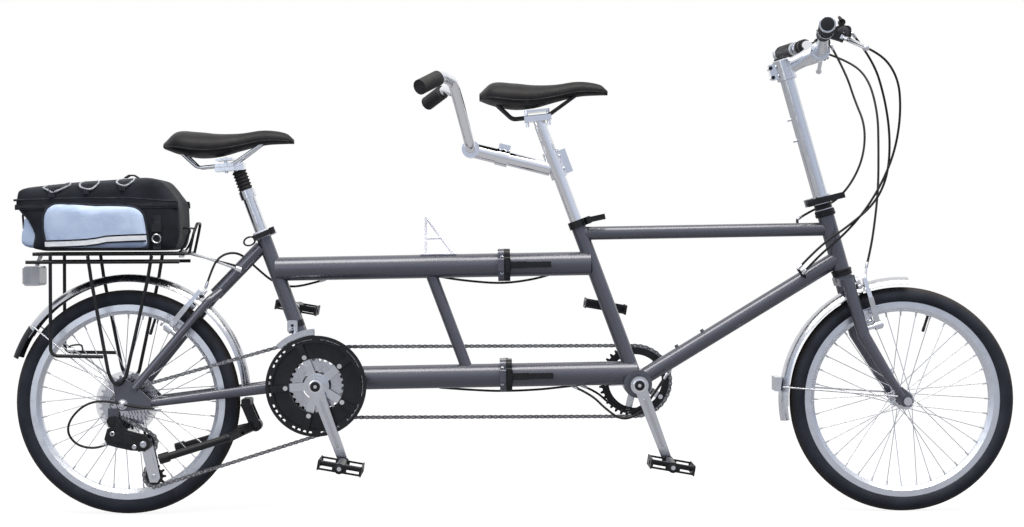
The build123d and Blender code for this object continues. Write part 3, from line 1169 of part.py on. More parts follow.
def make_stoker_saddle():
    shell = saddle(STOKER_SADDLE_X, STOKER_SADDLE_Z)
    rails = saddle_rails(STOKER_SADDLE_X, STOKER_SADDLE_Z, shell)
    stanchion = rod(seat_line(STOKER_CRANK, 330), seat_line(STOKER_CRANK, 492), STANCHION_RADIUS)
    middle = seat_line(STOKER_CRANK, 498)
    crown = tilted_block(middle, 4, -46, 16, 0, 40, 16)
    rest = tilted_block(middle, 4, -44, -4, 5, 54, 7)
    lid = tilted_block(middle, 4, -42, -6, 17, 52, 5)
    bolt_at = at(middle, (unit(4), -24))
    bolt = rod(at(bolt_at, (unit(94), -12)), at(bolt_at, (unit(94), 22)), 4)
    frame = cut(fuse(stanchion, crown, lid, rest, bolt), *rails)
    save("stoker_saddle", shell)
    save("stoker_saddle_frame", biggest(frame), *rails)


def make_suspension_boot():
    """Bellows over the sprung part of the post."""
    boot = pipe(seat_line(STOKER_CRANK, 444.2), seat_line(STOKER_CRANK, 489), 13.5, 12)
    for index in range(BELLOWS_COUNT):
        height = 447 + index * BELLOWS_PITCH
        fold = pipe(seat_line(STOKER_CRANK, height), seat_line(STOKER_CRANK, height + 3.4), 16, 12)
        boot = boot + fold
    crown = tilted_block(seat_line(STOKER_CRANK, 498), 4, -46, 16, 0, 60, 16.04)
    save("suspension_boot", cut(boot, crown))


# ---- cables ----
def make_cables():
    routes = [
        [CABLE_STARTS[-1], (1585, -124, 978), (1635, -96, 925), (1648, -62, 850), (1640, -40, 770),
         (1612, -34, 700), (1575, -30, 640), (1530, -30, 590), (1478, -30, 548), (1445, -24, 510)],
        [CABLE_STARTS[1], (1570, 122, 980), (1610, 90, 940), (1625, 60, 860), (1622, 40, 780),
         (1618, 26, 690), (1606, 12, 610), (1596, 4, 560), (1586, 0, 522)],
        [(1534, -119, 1012), (1580, -104, 960), (1610, -80, 880), (1630, -40, 800), (1628, -26, 720),
         (1600, -30, 660), (1540, -34, 610), (1480, -34, 570), (1434, -30, 520)],
        [(1534, 119, 1012), (1565, 108, 950), (1580, 90, 890), (1598, 60, 830), (1590, 44, 760),
         (1560, 36, 700), (1520, 32, 660), (1480, 28, 650), (1440, 12, 626)],
    ]
    cables = [cord(route, CABLE_RADIUS) for route in routes]
    save("control_cables", *cables)


make_wheels()
make_chains()
make_cassette()
make_chainset()
make_captain_cranks()
make_pedals()
make_frame()
make_brakes()
make_rear_fittings()
make_kickstand()
make_derailleurs()
make_front_derailleur()
make_rack()
make_bag()
make_mudguards()
make_fork()
make_front_axle_lever()
make_riser()
make_handlebar()
make_hand_levers()
make_captain_post()
make_stoker_bar()
make_stoker_post()
make_stoker_saddle()
make_suspension_boot()
make_cables()
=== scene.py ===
"""Dresses the folding tandem bicycle: materials, soft bag and saddles, chains, cables, light and camera."""
import math

import bmesh
import bpy
from mathutils import Matrix, Vector


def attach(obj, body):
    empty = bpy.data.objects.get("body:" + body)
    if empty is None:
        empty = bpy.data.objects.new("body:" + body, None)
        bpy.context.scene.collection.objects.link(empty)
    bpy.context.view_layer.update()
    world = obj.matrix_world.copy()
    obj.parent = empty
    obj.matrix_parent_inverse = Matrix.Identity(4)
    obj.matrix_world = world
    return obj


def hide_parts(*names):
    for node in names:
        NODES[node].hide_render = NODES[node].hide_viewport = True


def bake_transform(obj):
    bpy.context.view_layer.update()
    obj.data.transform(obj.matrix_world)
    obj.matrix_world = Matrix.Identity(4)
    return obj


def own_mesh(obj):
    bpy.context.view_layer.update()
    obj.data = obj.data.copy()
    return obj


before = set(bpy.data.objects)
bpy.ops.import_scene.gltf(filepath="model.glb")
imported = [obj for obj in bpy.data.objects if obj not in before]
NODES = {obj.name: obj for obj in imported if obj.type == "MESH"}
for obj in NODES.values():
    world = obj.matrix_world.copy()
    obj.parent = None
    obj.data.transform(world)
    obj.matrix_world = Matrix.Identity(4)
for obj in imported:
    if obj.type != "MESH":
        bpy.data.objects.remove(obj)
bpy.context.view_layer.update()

# ---- places: given in millimetres on the bicycle, held in metres in the frame ----
MM = 0.001
SIDES = (-1, 1)
AXLE_TO_ORIGIN = 0.827
WHEELBASE, AXLE_UP = 1660, 240
STOKER_AHEAD, CAPTAIN_AHEAD, CRANK_UP = 408, 1092, 276.5
CRANK_ARM, CRANK_OUT, PEDAL_OUT = 170, 76, 139
SEAT_LEAN, HEAD_LEAN = 20.3, 15.6


def spot(ahead, left, up):
    """A point given in millimetres ahead of the rear axle, to the left and above the ground."""
    return Vector((ahead * MM - AXLE_TO_ORIGIN, left * MM, up * MM))


def unit(degrees):
    """A direction in the side plane, measured up from straight ahead."""
    return Vector((math.cos(math.radians(degrees)), 0, math.sin(math.radians(degrees))))


LEFT = Vector((0, 1, 0))
REAR_AXLE, FRONT_AXLE = spot(0, 0, AXLE_UP), spot(WHEELBASE, 0, AXLE_UP)
STOKER_CRANK, CAPTAIN_CRANK = spot(STOKER_AHEAD, 0, CRANK_UP), spot(CAPTAIN_AHEAD, 0, CRANK_UP)
SEAT_UP, SEAT_AHEAD = unit(90 + SEAT_LEAN), unit(SEAT_LEAN)
HEAD_UP, HEAD_AHEAD = unit(90 + HEAD_LEAN), unit(HEAD_LEAN)


def head_point(up, ahead=0.0, left=0.0):
    """A point of the steering axis at a height, moved ahead of it and to the left, in mm."""
    foot_ahead, foot_up = 1506.9, 607
    back = (up - foot_up) * math.tan(math.radians(HEAD_LEAN))
    return spot(foot_ahead - back, left, up) + HEAD_AHEAD * ahead * MM


def seat_line(crank, along, ahead=0.0, left=0.0):
    """A point of a seat tube's axis, so many mm up from its crank."""
    return crank + SEAT_UP * along * MM + SEAT_AHEAD * ahead * MM + LEFT * left * MM


# ---- materials ----
def link(material, source, target):
    material.node_tree.links.new(source, target)


def node(material, kind, **values):
    """Adds a shader node; a value's name is an attribute of the node or one of its inputs."""
    made = material.node_tree.nodes.new(kind)
    for name, value in values.items():
        if hasattr(made, name):
            setattr(made, name, value)
        else:
            made.inputs[name.replace("_", " ")].default_value = value
    return made


def surface(name, colour, roughness, metallic=0.0, **sockets):
    """A Principled material, returned with its shader; a socket's name has _ for each space."""
    material = bpy.data.materials.new(name)
    material.use_nodes = True
    shader = material.node_tree.nodes["Principled BSDF"]
    shader.inputs["Base Color"].default_value = (*colour, 1)
    shader.inputs["Roughness"].default_value = roughness
    shader.inputs["Metallic"].default_value = metallic
    for socket, value in sockets.items():
        shader.inputs[socket.replace("_", " ")].default_value = value
    return material, shader


def place(material, scale=(1, 1, 1), rotation=(0, 0, 0), centre=(0, 0, 0)):
    """Object coordinates about a centre, turned and stretched."""
    coordinates = node(material, "ShaderNodeTexCoord")
    shift = node(material, "ShaderNodeVectorMath", operation="SUBTRACT")
    shift.inputs[1].default_value = centre
    mapping = node(material, "ShaderNodeMapping")
    mapping.inputs["Scale"].default_value = scale
    mapping.inputs["Rotation"].default_value = rotation
    link(material, coordinates.outputs["Object"], shift.inputs[0])
    link(material, shift.outputs[0], mapping.inputs["Vector"])
    return mapping.outputs["Vector"]


def noise(material, scale, detail=3.0, roughness=0.5, vector=None):
    """Soft noise over object coordinates, or over another vector."""
    made = node(material, "ShaderNodeTexNoise", Scale=scale, Detail=detail, Roughness=roughness)
    link(material, vector or place(material), made.inputs["Vector"])
    return made.outputs["Fac"]


def ramp(material, factor, *stops):
    """A colour ramp; each stop is a position and a colour or grey value."""
    made = node(material, "ShaderNodeValToRGB")
    elements = made.color_ramp.elements
    while len(elements) < len(stops):
        elements.new(0.5)
    for element, (position, colour) in zip(elements, stops):
        element.position = position
        element.color = (colour, colour, colour, 1) if isinstance(colour, float) else (*colour, 1)
    link(material, factor, made.inputs["Fac"])
    return made.outputs["Color"]


def bump(material, shader, height, strength, distance, below=None):
    made = node(material, "ShaderNodeBump", Strength=strength, Distance=distance)
    link(material, height, made.inputs["Height"])
    if below is not None:
        link(material, below, made.inputs["Normal"])
    link(material, made.outputs["Normal"], shader.inputs["Normal"])
    return made.outputs["Normal"]


def blotches(material, shader, dark, light, scale):
    """Varies the base colour softly between two tones."""
    tones = ramp(material, noise(material, scale, 4.0), (0.32, dark), (0.68, light))
    link(material, tones, shader.inputs["Base Color"])


def rough_patches(material, shader, low, high, scale, stretch=(1, 1, 1)):
    patches = noise(material, scale, 5.0, 0.6, place(material, stretch))
    link(material, ramp(material, patches, (0.35, low), (0.7, high)), shader.inputs["Roughness"])


def frame_paint():
    """Gunmetal lacquer: fine flake under a clear coat."""
    material, shader = surface("gunmetal_paint", (0.11, 0.115, 0.14), 0.27, 0.5,
                               Coat_Weight=0.3, Coat_Roughness=0.14)
    flake = ramp(material, noise(material, 2600, 1.0), (0.3, (0.09, 0.094, 0.118)),
                 (0.7, (0.135, 0.14, 0.168)))
    link(material, flake, shader.inputs["Base Color"])
    bump(material, shader, noise(material, 260, 2.0), 0.02, 0.0002)
    return material


def black_paint(name="black_paint", tone=0.008, roughness=0.36, specular=0.35):
    material, shader = surface(name, (tone, tone, tone * 1.2), roughness, 0.0, Specular_IOR_Level=specular)
    dark, light = (tone * 0.7, tone * 0.7, tone * 0.85), (tone * 1.7, tone * 1.75, tone * 2.1)
    blotches(material, shader, dark, light, 45)
    bump(material, shader, noise(material, 700, 3.0), 0.08, 0.0002)
    return material


def polished(name="polished_alloy", colour=(0.74, 0.76, 0.8), roughness=0.17, stretch=(1, 1, 1)):
    material, shader = surface(name, colour, roughness, 1.0)
    rough_patches(material, shader, roughness * 0.75, roughness * 1.5, 90, stretch)
    bump(material, shader, noise(material, 420, 2.0, vector=place(material, stretch)), 0.03, 0.0002)
    return material


def turned_alloy(name, centre, colour, roughness, rings=5200.0):
    """Metal turned on a lathe: fine rings about a wheel's axle."""
    material, shader = surface(name, colour, roughness, 1.0)
    wave = ring_wave(material, centre, rings)
    bump(material, shader, wave, 0.03, 0.0001)
    patches = noise(material, 60, 4.0)
    link(material, ramp(material, patches, (0.3, roughness * 0.8), (0.7, roughness * 1.4)),
         shader.inputs["Roughness"])
    return material


def sine(material, value, times, shift=0.0):
    """The sine of a number times a constant."""
    scaled = node(material, "ShaderNodeMath", operation="MULTIPLY_ADD")
    scaled.inputs[1].default_value = times
    scaled.inputs[2].default_value = shift
    link(material, value, scaled.inputs[0])
    wave = node(material, "ShaderNodeMath", operation="SINE")
    link(material, scaled.outputs[0], wave.inputs[0])
    return wave.outputs[0]


def wheel_radius(material, centre):
    """A point's distance from a wheel's axle."""
    length = node(material, "ShaderNodeVectorMath", operation="LENGTH")
    link(material, place(material, (1, 0, 1), centre=centre), length.inputs[0])
    return length.outputs["Value"]


def ring_wave(material, centre, rings):
    return sine(material, wheel_radius(material, centre), rings)


def combine(material, operation, first, second):
    made = node(material, "ShaderNodeMath", operation=operation)
    for index, value in enumerate((first, second)):
        if isinstance(value, float):
            made.inputs[index].default_value = value
        else:
            link(material, value, made.inputs[index])
    return made.outputs[0]


TREAD_BLOCKS = 110.0
TREAD_SLANT = 420.0
TREAD_FROM = 0.2335  # the radius in metres where the tread starts
RAMP_REACH = 4.0  # spreads a radius over more of a ramp, which reads 0 to 1


def tyre_rubber(name, centre):
    """Rubber with fine rings on the side walls and slanted grooves in the tread, which wears brown."""
    material, shader = surface(name, (0.026, 0.029, 0.038), 0.68, 0.0, Specular_IOR_Level=0.2)
    radius = wheel_radius(material, centre)
    tread = ramp(material, combine(material, "MULTIPLY", radius, RAMP_REACH),
                 ((TREAD_FROM - 0.002) * RAMP_REACH, 0.0), ((TREAD_FROM + 0.0015) * RAMP_REACH, 1.0))
    split = node(material, "ShaderNodeSeparateXYZ")
    link(material, place(material, centre=centre), split.inputs[0])
    turn = combine(material, "ARCTAN2", split.outputs["Z"], split.outputs["X"])
    across = node(material, "ShaderNodeMath", operation="ABSOLUTE")
    link(material, split.outputs["Y"], across.inputs[0])
    slant = combine(material, "ADD", combine(material, "MULTIPLY", turn, TREAD_BLOCKS),
                    combine(material, "MULTIPLY", across.outputs[0], TREAD_SLANT))
    grooves = ramp(material, sine(material, slant, 1.0), (0.55, 0.0), (0.75, 1.0))
    pattern = combine(material, "MULTIPLY", grooves, tread)
    ribs = combine(material, "MULTIPLY", sine(material, radius, 3600.0), 0.12)
    height = combine(material, "SUBTRACT", ribs, pattern)
    grain = noise(material, 500, 4.0)
    fine = bump(material, shader, grain, 0.2, 0.0003)
    bump(material, shader, height, 0.8, 0.0006, fine)
    walls = ramp(material, noise(material, 22, 4.0), (0.32, (0.02, 0.023, 0.031)),
                 (0.68, (0.034, 0.039, 0.052)))
    mix = node(material, "ShaderNodeMix", data_type="RGBA")
    link(material, combine(material, "MULTIPLY", tread, 0.55), mix.inputs["Factor"])
    link(material, walls, mix.inputs[6])
    mix.inputs[7].default_value = (0.05, 0.036, 0.026, 1)
    link(material, mix.outputs[2], shader.inputs["Base Color"])
    return material


def rubber(name, tone=0.012, roughness=0.6, grain=500, strength=0.2):
    material, shader = surface(name, (tone,) * 3, roughness, 0.0, Specular_IOR_Level=0.35)
    blotches(material, shader, (tone * 0.8, tone * 0.8, tone * 0.9), (tone * 1.5, tone * 1.5, tone * 1.7), 25)
    bump(material, shader, noise(material, grain, 4.0), strength, 0.0003)
    return material


def chain_steel(name="oiled_steel", light=(0.34, 0.34, 0.35)):
    material, shader = surface(name, (0.24, 0.24, 0.25), 0.34, 0.95)
    blotches(material, shader, (0.08, 0.078, 0.08), light, 240)
    rough_patches(material, shader, 0.26, 0.5, 300)
    return material


def fabric(name, dark, light, roughness=0.75, weave=3800.0, creases=14.0):
    """Woven nylon: a fine basket weave, soft creases and a slight sheen."""
    material, shader = surface(name, light, roughness, 0.0, Specular_IOR_Level=0.25,
                               Sheen_Weight=0.12, Sheen_Roughness=0.5)
    split = node(material, "ShaderNodeSeparateXYZ")
    link(material, place(material), split.inputs[0])
    warp = sine(material, combine(material, "ADD", split.outputs["X"], split.outputs["Y"]), weave)
    weft = sine(material, split.outputs["Z"], weave)
    thread = combine(material, "MULTIPLY", warp, weft)
    soft = noise(material, creases, 5.0, 0.55)
    folds = bump(material, shader, soft, 0.5, 0.006)
    bump(material, shader, thread, 0.25, 0.0003, folds)
    tones = ramp(material, noise(material, creases * 1.7, 4.0), (0.35, dark), (0.65, light))
    link(material, tones, shader.inputs["Base Color"])
    return material


def saddle_skin():
    """Smooth black synthetic leather with a fine grain."""
    material, shader = surface("saddle_skin", (0.008, 0.008, 0.009), 0.5, 0.0, Specular_IOR_Level=0.25)
    grain = node(material, "ShaderNodeTexVoronoi", Scale=900.0)
    link(material, place(material), grain.inputs["Vector"])
    bump(material, shader, grain.outputs["Distance"], 0.12, 0.0002)
    blotches(material, shader, (0.006, 0.006, 0.007), (0.012, 0.012, 0.014), 30)
    rough_patches(material, shader, 0.44, 0.58, 40)
    return material


def clear_plastic(name, colour, roughness=0.2, alpha=0.35):
    material, shader = surface(name, colour, roughness, 0.0, Alpha=alpha, Coat_Weight=0.3)
    blotches(material, shader, tuple(value * 0.9 for value in colour), colour, 50)
    return material


def grip_rubber():
    """Soft grip rubber with rows of small dimples."""
    material, shader = surface("grip_rubber", (0.014, 0.014, 0.015), 0.6, 0.0, Specular_IOR_Level=0.35)
    dimples = node(material, "ShaderNodeTexVoronoi", Scale=420.0, Randomness=0.15)
    link(material, place(material), dimples.inputs["Vector"])
    bump(material, shader, ramp(material, dimples.outputs["Distance"], (0.1, 0.0), (0.4, 1.0)), 0.5, 0.0006)
    blotches(material, shader, (0.01, 0.01, 0.011), (0.03, 0.03, 0.032), 60)
    return material


MATERIALS = {
    "frame": frame_paint(),
    "black": black_paint(),
    "black_plastic": black_paint("black_plastic", 0.01, 0.5, 0.3),
    "dark_grey": black_paint("dark_grey_plastic", 0.035, 0.45, 0.35),
    "alloy": polished(),
    "bright": polished("bright_alloy", (0.86, 0.87, 0.9), 0.1),
    "steel": polished("bright_steel", (0.6, 0.61, 0.64), 0.22),
    "mudguard": polished("satin_mudguard", (0.78, 0.8, 0.84), 0.24),
    "chain": chain_steel(),
    "rear_tyre": tyre_rubber("rear_tyre_rubber", REAR_AXLE),
    "front_tyre": tyre_rubber("front_tyre_rubber", FRONT_AXLE),
    "rubber": rubber("soft_rubber", 0.01, 0.6, 800, 0.2),
    "housing": rubber("cable_housing", 0.008, 0.38, 300, 0.05),
    "grip": grip_rubber(),
    "saddle": saddle_skin(),
    "nylon": fabric("black_nylon", (0.005, 0.007, 0.011), (0.012, 0.016, 0.024)),
    "blue_nylon": fabric("blue_nylon", (0.46, 0.58, 0.8), (0.58, 0.7, 0.9), 0.7),
    "webbing": fabric("webbing", (0.012, 0.014, 0.02), (0.03, 0.034, 0.045), 0.8, 2600.0, 40.0),
    "reflective": fabric("reflective_tape", (0.8, 0.83, 0.88), (0.92, 0.94, 0.97), 0.35, 5200.0, 30.0),
    "bungee": fabric("bungee_cord", (0.3, 0.32, 0.36), (0.5, 0.52, 0.56), 0.7, 3000.0, 60.0),
    "white": rubber("white_coating", 0.78, 0.4, 400, 0.05),
    "smoke": clear_plastic("clear_protector", (0.62, 0.66, 0.72), 0.25, 0.3),
    "lens": clear_plastic("lamp_lens", (0.55, 0.56, 0.6), 0.08, 0.75),
    "red": rubber("red_plastic", 0.05, 0.3, 300, 0.02),
    "rear_rim": turned_alloy("rear_rim_alloy", REAR_AXLE, (0.74, 0.77, 0.83), 0.3, 1900.0),
    "front_rim": turned_alloy("front_rim_alloy", FRONT_AXLE, (0.74, 0.77, 0.83), 0.3, 1900.0),
}


# ---- building pieces ----
class Piece:
    """Collects simple closed forms into one mesh; each form takes the material chosen last."""

    def __init__(self, name, material):
        self.name = name
        self.materials = []
        self.mesh = bmesh.new()
        self.use(material)

    def use(self, material):
        """Chooses the material of the forms that follow."""
        if material not in self.materials:
            self.materials.append(material)
        self.current = self.materials.index(material)
        return self

    def face(self, corners):
        made = self.mesh.faces.new(corners)
        made.material_index = self.current

    def skin(self, rings, loop=False):
        """Joins rings of points into a tube, with its ends closed unless it is a loop."""
        rings = [[self.mesh.verts.new(point) for point in ring] for ring in rings]
        count = len(rings[0])
        pairs = list(zip(rings, rings[1:])) + ([(rings[-1], rings[0])] if loop else [])
        for first, second in pairs:
            for index in range(count):
                after = (index + 1) % count
                self.face((first[index], first[after], second[after], second[index]))
        if not loop:
            self.face(rings[0][::-1])
            self.face(rings[-1])

    def lathe(self, origin, axis, profile, sides=20, turn=0.0):
        """A turned form; the profile holds distances along the axis and radii, in mm."""
        axis = Vector(axis).normalized()
        across = axis.orthogonal().normalized()
        other = axis.cross(across)
        rings = []
        for along, radius in profile:
            ring = []
            for step in range(sides):
                angle = 2 * math.pi * step / sides + turn
                outward = across * math.cos(angle) + other * math.sin(angle)
                ring.append(origin + axis * along * MM + outward * radius * MM)
            rings.append(ring)
        self.skin(rings)

    def tube(self, points, radius, sides=8, loop=False):
        """A round bar of a radius in mm along points in metres."""
        rings = []
        normal = None
        count = len(points)
        for index, point in enumerate(points):
            ahead = points[(index + 1) % count] if loop or index + 1 < count else point
            behind = points[index - 1] if loop or index else point
            along = (ahead - behind).normalized()
            normal = normal or along.orthogonal()
            normal = (normal - along * normal.dot(along)).normalized()
            other = along.cross(normal)
            ring = []
            for step in range(sides):
                angle = 2 * math.pi * step / sides
                ring.append(point + (normal * math.cos(angle) + other * math.sin(angle)) * radius * MM)
            rings.append(ring)
        self.skin(rings, loop)

    def slab(self, outline, push, bevel=0.0):
        """A flat outline pushed along a vector in metres, its rims bevelled by so many mm."""
        push = Vector(push)
        middle = sum(outline, Vector()) / len(outline)
        if not bevel:
            self.skin([outline, [point + push for point in outline]])
            return
        cut = push.normalized() * bevel * MM
        inner = [point + (middle - point).normalized() * bevel * MM for point in outline]
        self.skin([inner, [point + cut for point in outline],
                   [point + push - cut for point in outline], [point + push for point in inner]])

    def bolt(self, origin, axis, radius=4.0, height=3.0):
        """A socket-head bolt that stands on a point."""
        self.lathe(origin, axis, [(-1, radius * 0.9), (height * 0.15, radius), (height * 0.8, radius),
                                  (height, radius * 0.86), (height, radius * 0.5),
                                  (height * 0.35, radius * 0.46), (height * 0.35, 0.05)], 16)

    def done(self, body, slot=None, sharp=34):
        """Makes the object; edges sharper than so many degrees stay crisp."""
        bmesh.ops.recalc_face_normals(self.mesh, faces=self.mesh.faces)
        for edge in self.mesh.edges:
            if len(edge.link_faces) == 2:
                edge.smooth = edge.calc_face_angle(0) < math.radians(sharp)
        for face in self.mesh.faces:
            face.smooth = True
        mesh = bpy.data.meshes.new(self.name)
        self.mesh.to_mesh(mesh)
        self.mesh.free()
        for name in self.materials:
            mesh.materials.append(MATERIALS[name])
        obj = bpy.data.objects.new(self.name, mesh)
        bpy.context.scene.collection.objects.link(obj)
        if body:
            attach(obj, body)
        return obj


def box_outline(centre, first, second):
    """The four corners of a rectangle, from its middle and two half-side vectors in metres."""
    return [centre + one * first + two * second for one, two in ((1, 1), (-1, 1), (-1, -1), (1, -1))]


def arc(centre, across, up, radius, start, finish, count):
    """Points on an arc in the plane of two directions, in mm and degrees."""
    points = []
    for index in range(count):
        angle = math.radians(start + (finish - start) * index / (count - 1))
        points.append(centre + (across * math.cos(angle) + up * math.sin(angle)) * radius * MM)
    return points


# ---- the CAD nodes' materials ----
def islands(obj):
    """The separate solids of a CAD node, each a list of faces and the middle of its box."""
    mesh = obj.data
    places = {}
    point_of = []
    for vertex in mesh.vertices:
        key = tuple(round(value * 50000) for value in vertex.co)
        point_of.append(places.setdefault(key, len(places)))
    parent = list(range(len(places)))

    def root(index):
        while parent[index] != index:
            parent[index] = parent[parent[index]]
            index = parent[index]
        return index

    for polygon in mesh.polygons:
        first = root(point_of[polygon.vertices[0]])
        for vertex in polygon.vertices[1:]:
            parent[root(point_of[vertex])] = first
    groups = {}
    for polygon in mesh.polygons:
        groups.setdefault(root(point_of[polygon.vertices[0]]), []).append(polygon)
    result = []
    for polygons in groups.values():
        corners = [mesh.vertices[index].co for polygon in polygons for index in polygon.vertices]
        low = Vector([min(corner[axis] for corner in corners) for axis in range(3)])
        high = Vector([max(corner[axis] for corner in corners) for axis in range(3)])
        result.append((polygons, low, high))
    return result


def paint(name, material, *choices):
    """Gives a CAD node its material; a choice is a test of a solid's low and high corner, and a material."""
    obj = NODES[name]
    obj.data.materials.clear()
    obj.data.materials.append(MATERIALS[material])
    for _, other in choices:
        obj.data.materials.append(MATERIALS[other])
    if choices:
        for polygons, low, high in islands(obj):
            index = 0
            for place_in_list, (test, _) in enumerate(choices, start=1):
                if test(low, high):
                    index = place_in_list
            for polygon in polygons:
                polygon.material_index = index


def wide(limit):
    """A test of a solid: is it wider across the bicycle than a limit in mm?"""
    return lambda low, high: high.y - low.y > limit * MM


def beyond(left):
    """A test of a solid: does it lie wholly further out than so many mm from the middle plane?"""
    return lambda low, high: low.y > left * MM or high.y < -left * MM


PLAIN_NODES = {
    "frame": ("stoker_seat_tube", "rear_beams", "captain_seat_tube", "front_tubes", "rear_hinge_plates"),
    "black": ("kickstand", "rear_derailleur", "upper_latch_lever", "lower_latch_lever", "stoker_seat_lever",
              "captain_seat_lever", "riser_lever", "stoker_pedal_right", "stoker_pedal_left",
              "captain_pedal_right", "captain_pedal_left", "guide_pulley", "tension_pulley"),
    "black_plastic": ("shift_lever_left", "shift_lever_right"),
    "alloy": ("stoker_cranks", "stoker_seatpost", "brake_lever_left", "brake_lever_right", "riser",
              "rear_brake_arm_left", "rear_brake_arm_right", "front_brake_arm_left", "front_brake_arm_right",
              "derailleur_cage", "front_derailleur", "front_axle_lever"),
    "chain": ("drive_chain", "timing_chain"),
    "rubber": ("stoker_saddle", "captain_saddle", "rear_bag"),
    "steel": ("cassette",),
    "rear_tyre": ("rear_tyre",),
    "front_tyre": ("front_tyre",),
    "rear_rim": ("rear_rim",),
    "front_rim": ("front_rim",),
}


def thin_rod(low, high):
    """A test of a solid: is it a mudguard's stay?"""
    return high.y - low.y < 0.06 and high.x - low.x > 0.15


def thin_ring(low, high):
    """A test of a solid: is it a toothed ring?"""
    return high.y - low.y < 0.006 and high.x - low.x > 0.12


def long_and_thin(low, high):
    """A test of a solid: is it a rod in the side plane?"""
    return high.y - low.y < 0.025 and high.x - low.x > 0.1


def paint_nodes():
    for material, names in PLAIN_NODES.items():
        for name in names:
            paint(name, material)
    paint("captain_cranks", "alloy", (thin_ring, "black"))
    paint("front_hub_and_spokes", "steel", (lambda low, high: high.x - low.x < 0.045, "alloy"))
    paint("rear_hub_and_spokes", "steel",
          (lambda low, high: high.y - low.y < 0.003 and high.x - low.x > 0.1, "smoke"))
    paint("head_tube", "black_plastic", (lambda low, high: high.z - low.z > 0.09, "frame"))
    paint("fork", "frame", (lambda low, high: high.z - low.z < 0.05, "alloy"))
    paint("rear_stays", "frame", (lambda low, high: max(high.z - low.z, high.x - low.x) < 0.025, "alloy"))
    paint("front_fittings", "black",
          (lambda low, high: high.x - low.x < 0.02 and high.z - low.z > 0.06, "frame"))
    paint("rear_fittings", "black",
          (lambda low, high: low.z > 0.55 and high.x - low.x > 0.05, "white"),
          (lambda low, high: abs(low.y + high.y) / 2 > 0.03 and low.z > 0.37, "steel"))
    lamp_ahead, flap_ahead = spot(-180, 0, 0).x, spot(-200, 0, 0).x
    paint("rear_rack", "black",
          (lambda low, high: high.x < lamp_ahead and min(high.z - low.z, high.y - low.y) > 0.02, "lens"))
    paint("rear_mudguard", "mudguard", (thin_rod, "steel"),
          (lambda low, high: high.x < flap_ahead and high.z < 0.42, "black_plastic"))
    paint("front_mudguard", "mudguard", (thin_rod, "steel"))
    paint("chainrings", "black",
          (lambda low, high: 0.1 < high.x - low.x < 0.125, "steel"),
          (lambda low, high: low.y > 0.03 and high.x - low.x > 0.1, "black"),
          (lambda low, high: high.x - low.x < 0.02, "bright"))
    paint("handlebar", "black_plastic", (wide(200), "alloy"), (beyond(160), "grip"))
    paint("stoker_handlebar", "bright", (beyond(150), "grip"))
    paint("captain_seatpost", "bright", (lambda low, high: high.y - low.y < 0.025 and low.z > 0.8, "black"))
    paint("stoker_saddle_frame", "alloy", (long_and_thin, "black"))


# ---- chains ----
LINK = 12.7
CHAIN_Y, TIMING_Y = -52.0, 47.0
DRIVE_TEETH, COG_TEETH, PULLEY_TEETH, TIMING_TEETH = 50, 13, 11, 38
GUIDE_PLACE, TENSION_PLACE = (47, 157.5), (64.3, 86.6)


def pitch_radius(teeth):
    return LINK / (2 * math.sin(math.pi / teeth))


def chain_path(wheels):
    """The lines and arcs of a chain round directed circles, each (ahead, up, signed radius), in mm."""
    count = len(wheels)
    contacts = []
    for index in range(count):
        ax, az, ar = wheels[index]
        bx, bz, br = wheels[(index + 1) % count]
        distance = math.hypot(bx - ax, bz - az)
        normal = math.atan2(bz - az, bx - ax) - math.acos((ar - br) / distance)
        across = Vector((math.cos(normal), math.sin(normal)))
        contacts.append((Vector((ax, az)) + ar * across, Vector((bx, bz)) + br * across))
    parts = []
    for index in range(count):
        parts.append(("line", *contacts[index]))
        cx, cz, radius = wheels[(index + 1) % count]
        arrive, leave = contacts[index][1], contacts[(index + 1) % count][0]
        start = math.atan2(arrive.y - cz, arrive.x - cx)
        turn = (math.atan2(leave.y - cz, leave.x - cx) - start) % (2 * math.pi)
        if radius < 0:
            turn -= 2 * math.pi
        parts.append(("arc", Vector((cx, cz)), abs(radius), start, turn))
    return parts


def part_length(part):
    return (part[2] - part[1]).length if part[0] == "line" else part[2] * abs(part[4])


def path_point(parts, distance):
    """The point so many mm along a chain's path."""
    for part in parts:
        length = part_length(part)
        if distance <= length:
            break
        distance -= length
    share = min(distance / length, 1)
    if part[0] == "line":
        return part[1].lerp(part[2], share)
    angle = part[3] + part[4] * share
    return part[1] + Vector((math.cos(angle), math.sin(angle))) * part[2]


def link_plate(piece, first, second, low_y, high_y, radius):
    """One side plate: round at both pins and waisted between them."""
    along = (second - first).normalized()
    across = Vector((-along.y, along.x))
    ends = []
    for centre, turn in ((first, 90), (second, -90)):
        for step in range(5):
            angle = math.radians(turn + 45 * step)
            ends.append(centre + (along * math.cos(angle) + across * math.sin(angle)) * radius)
    middle = (first + second) / 2
    ends = ends[:5] + [middle - across * radius * 0.72] + ends[5:] + [middle + across * radius * 0.72]
    piece.slab([spot(point.x, low_y, point.y) for point in ends], LEFT * (high_y - low_y) * MM)


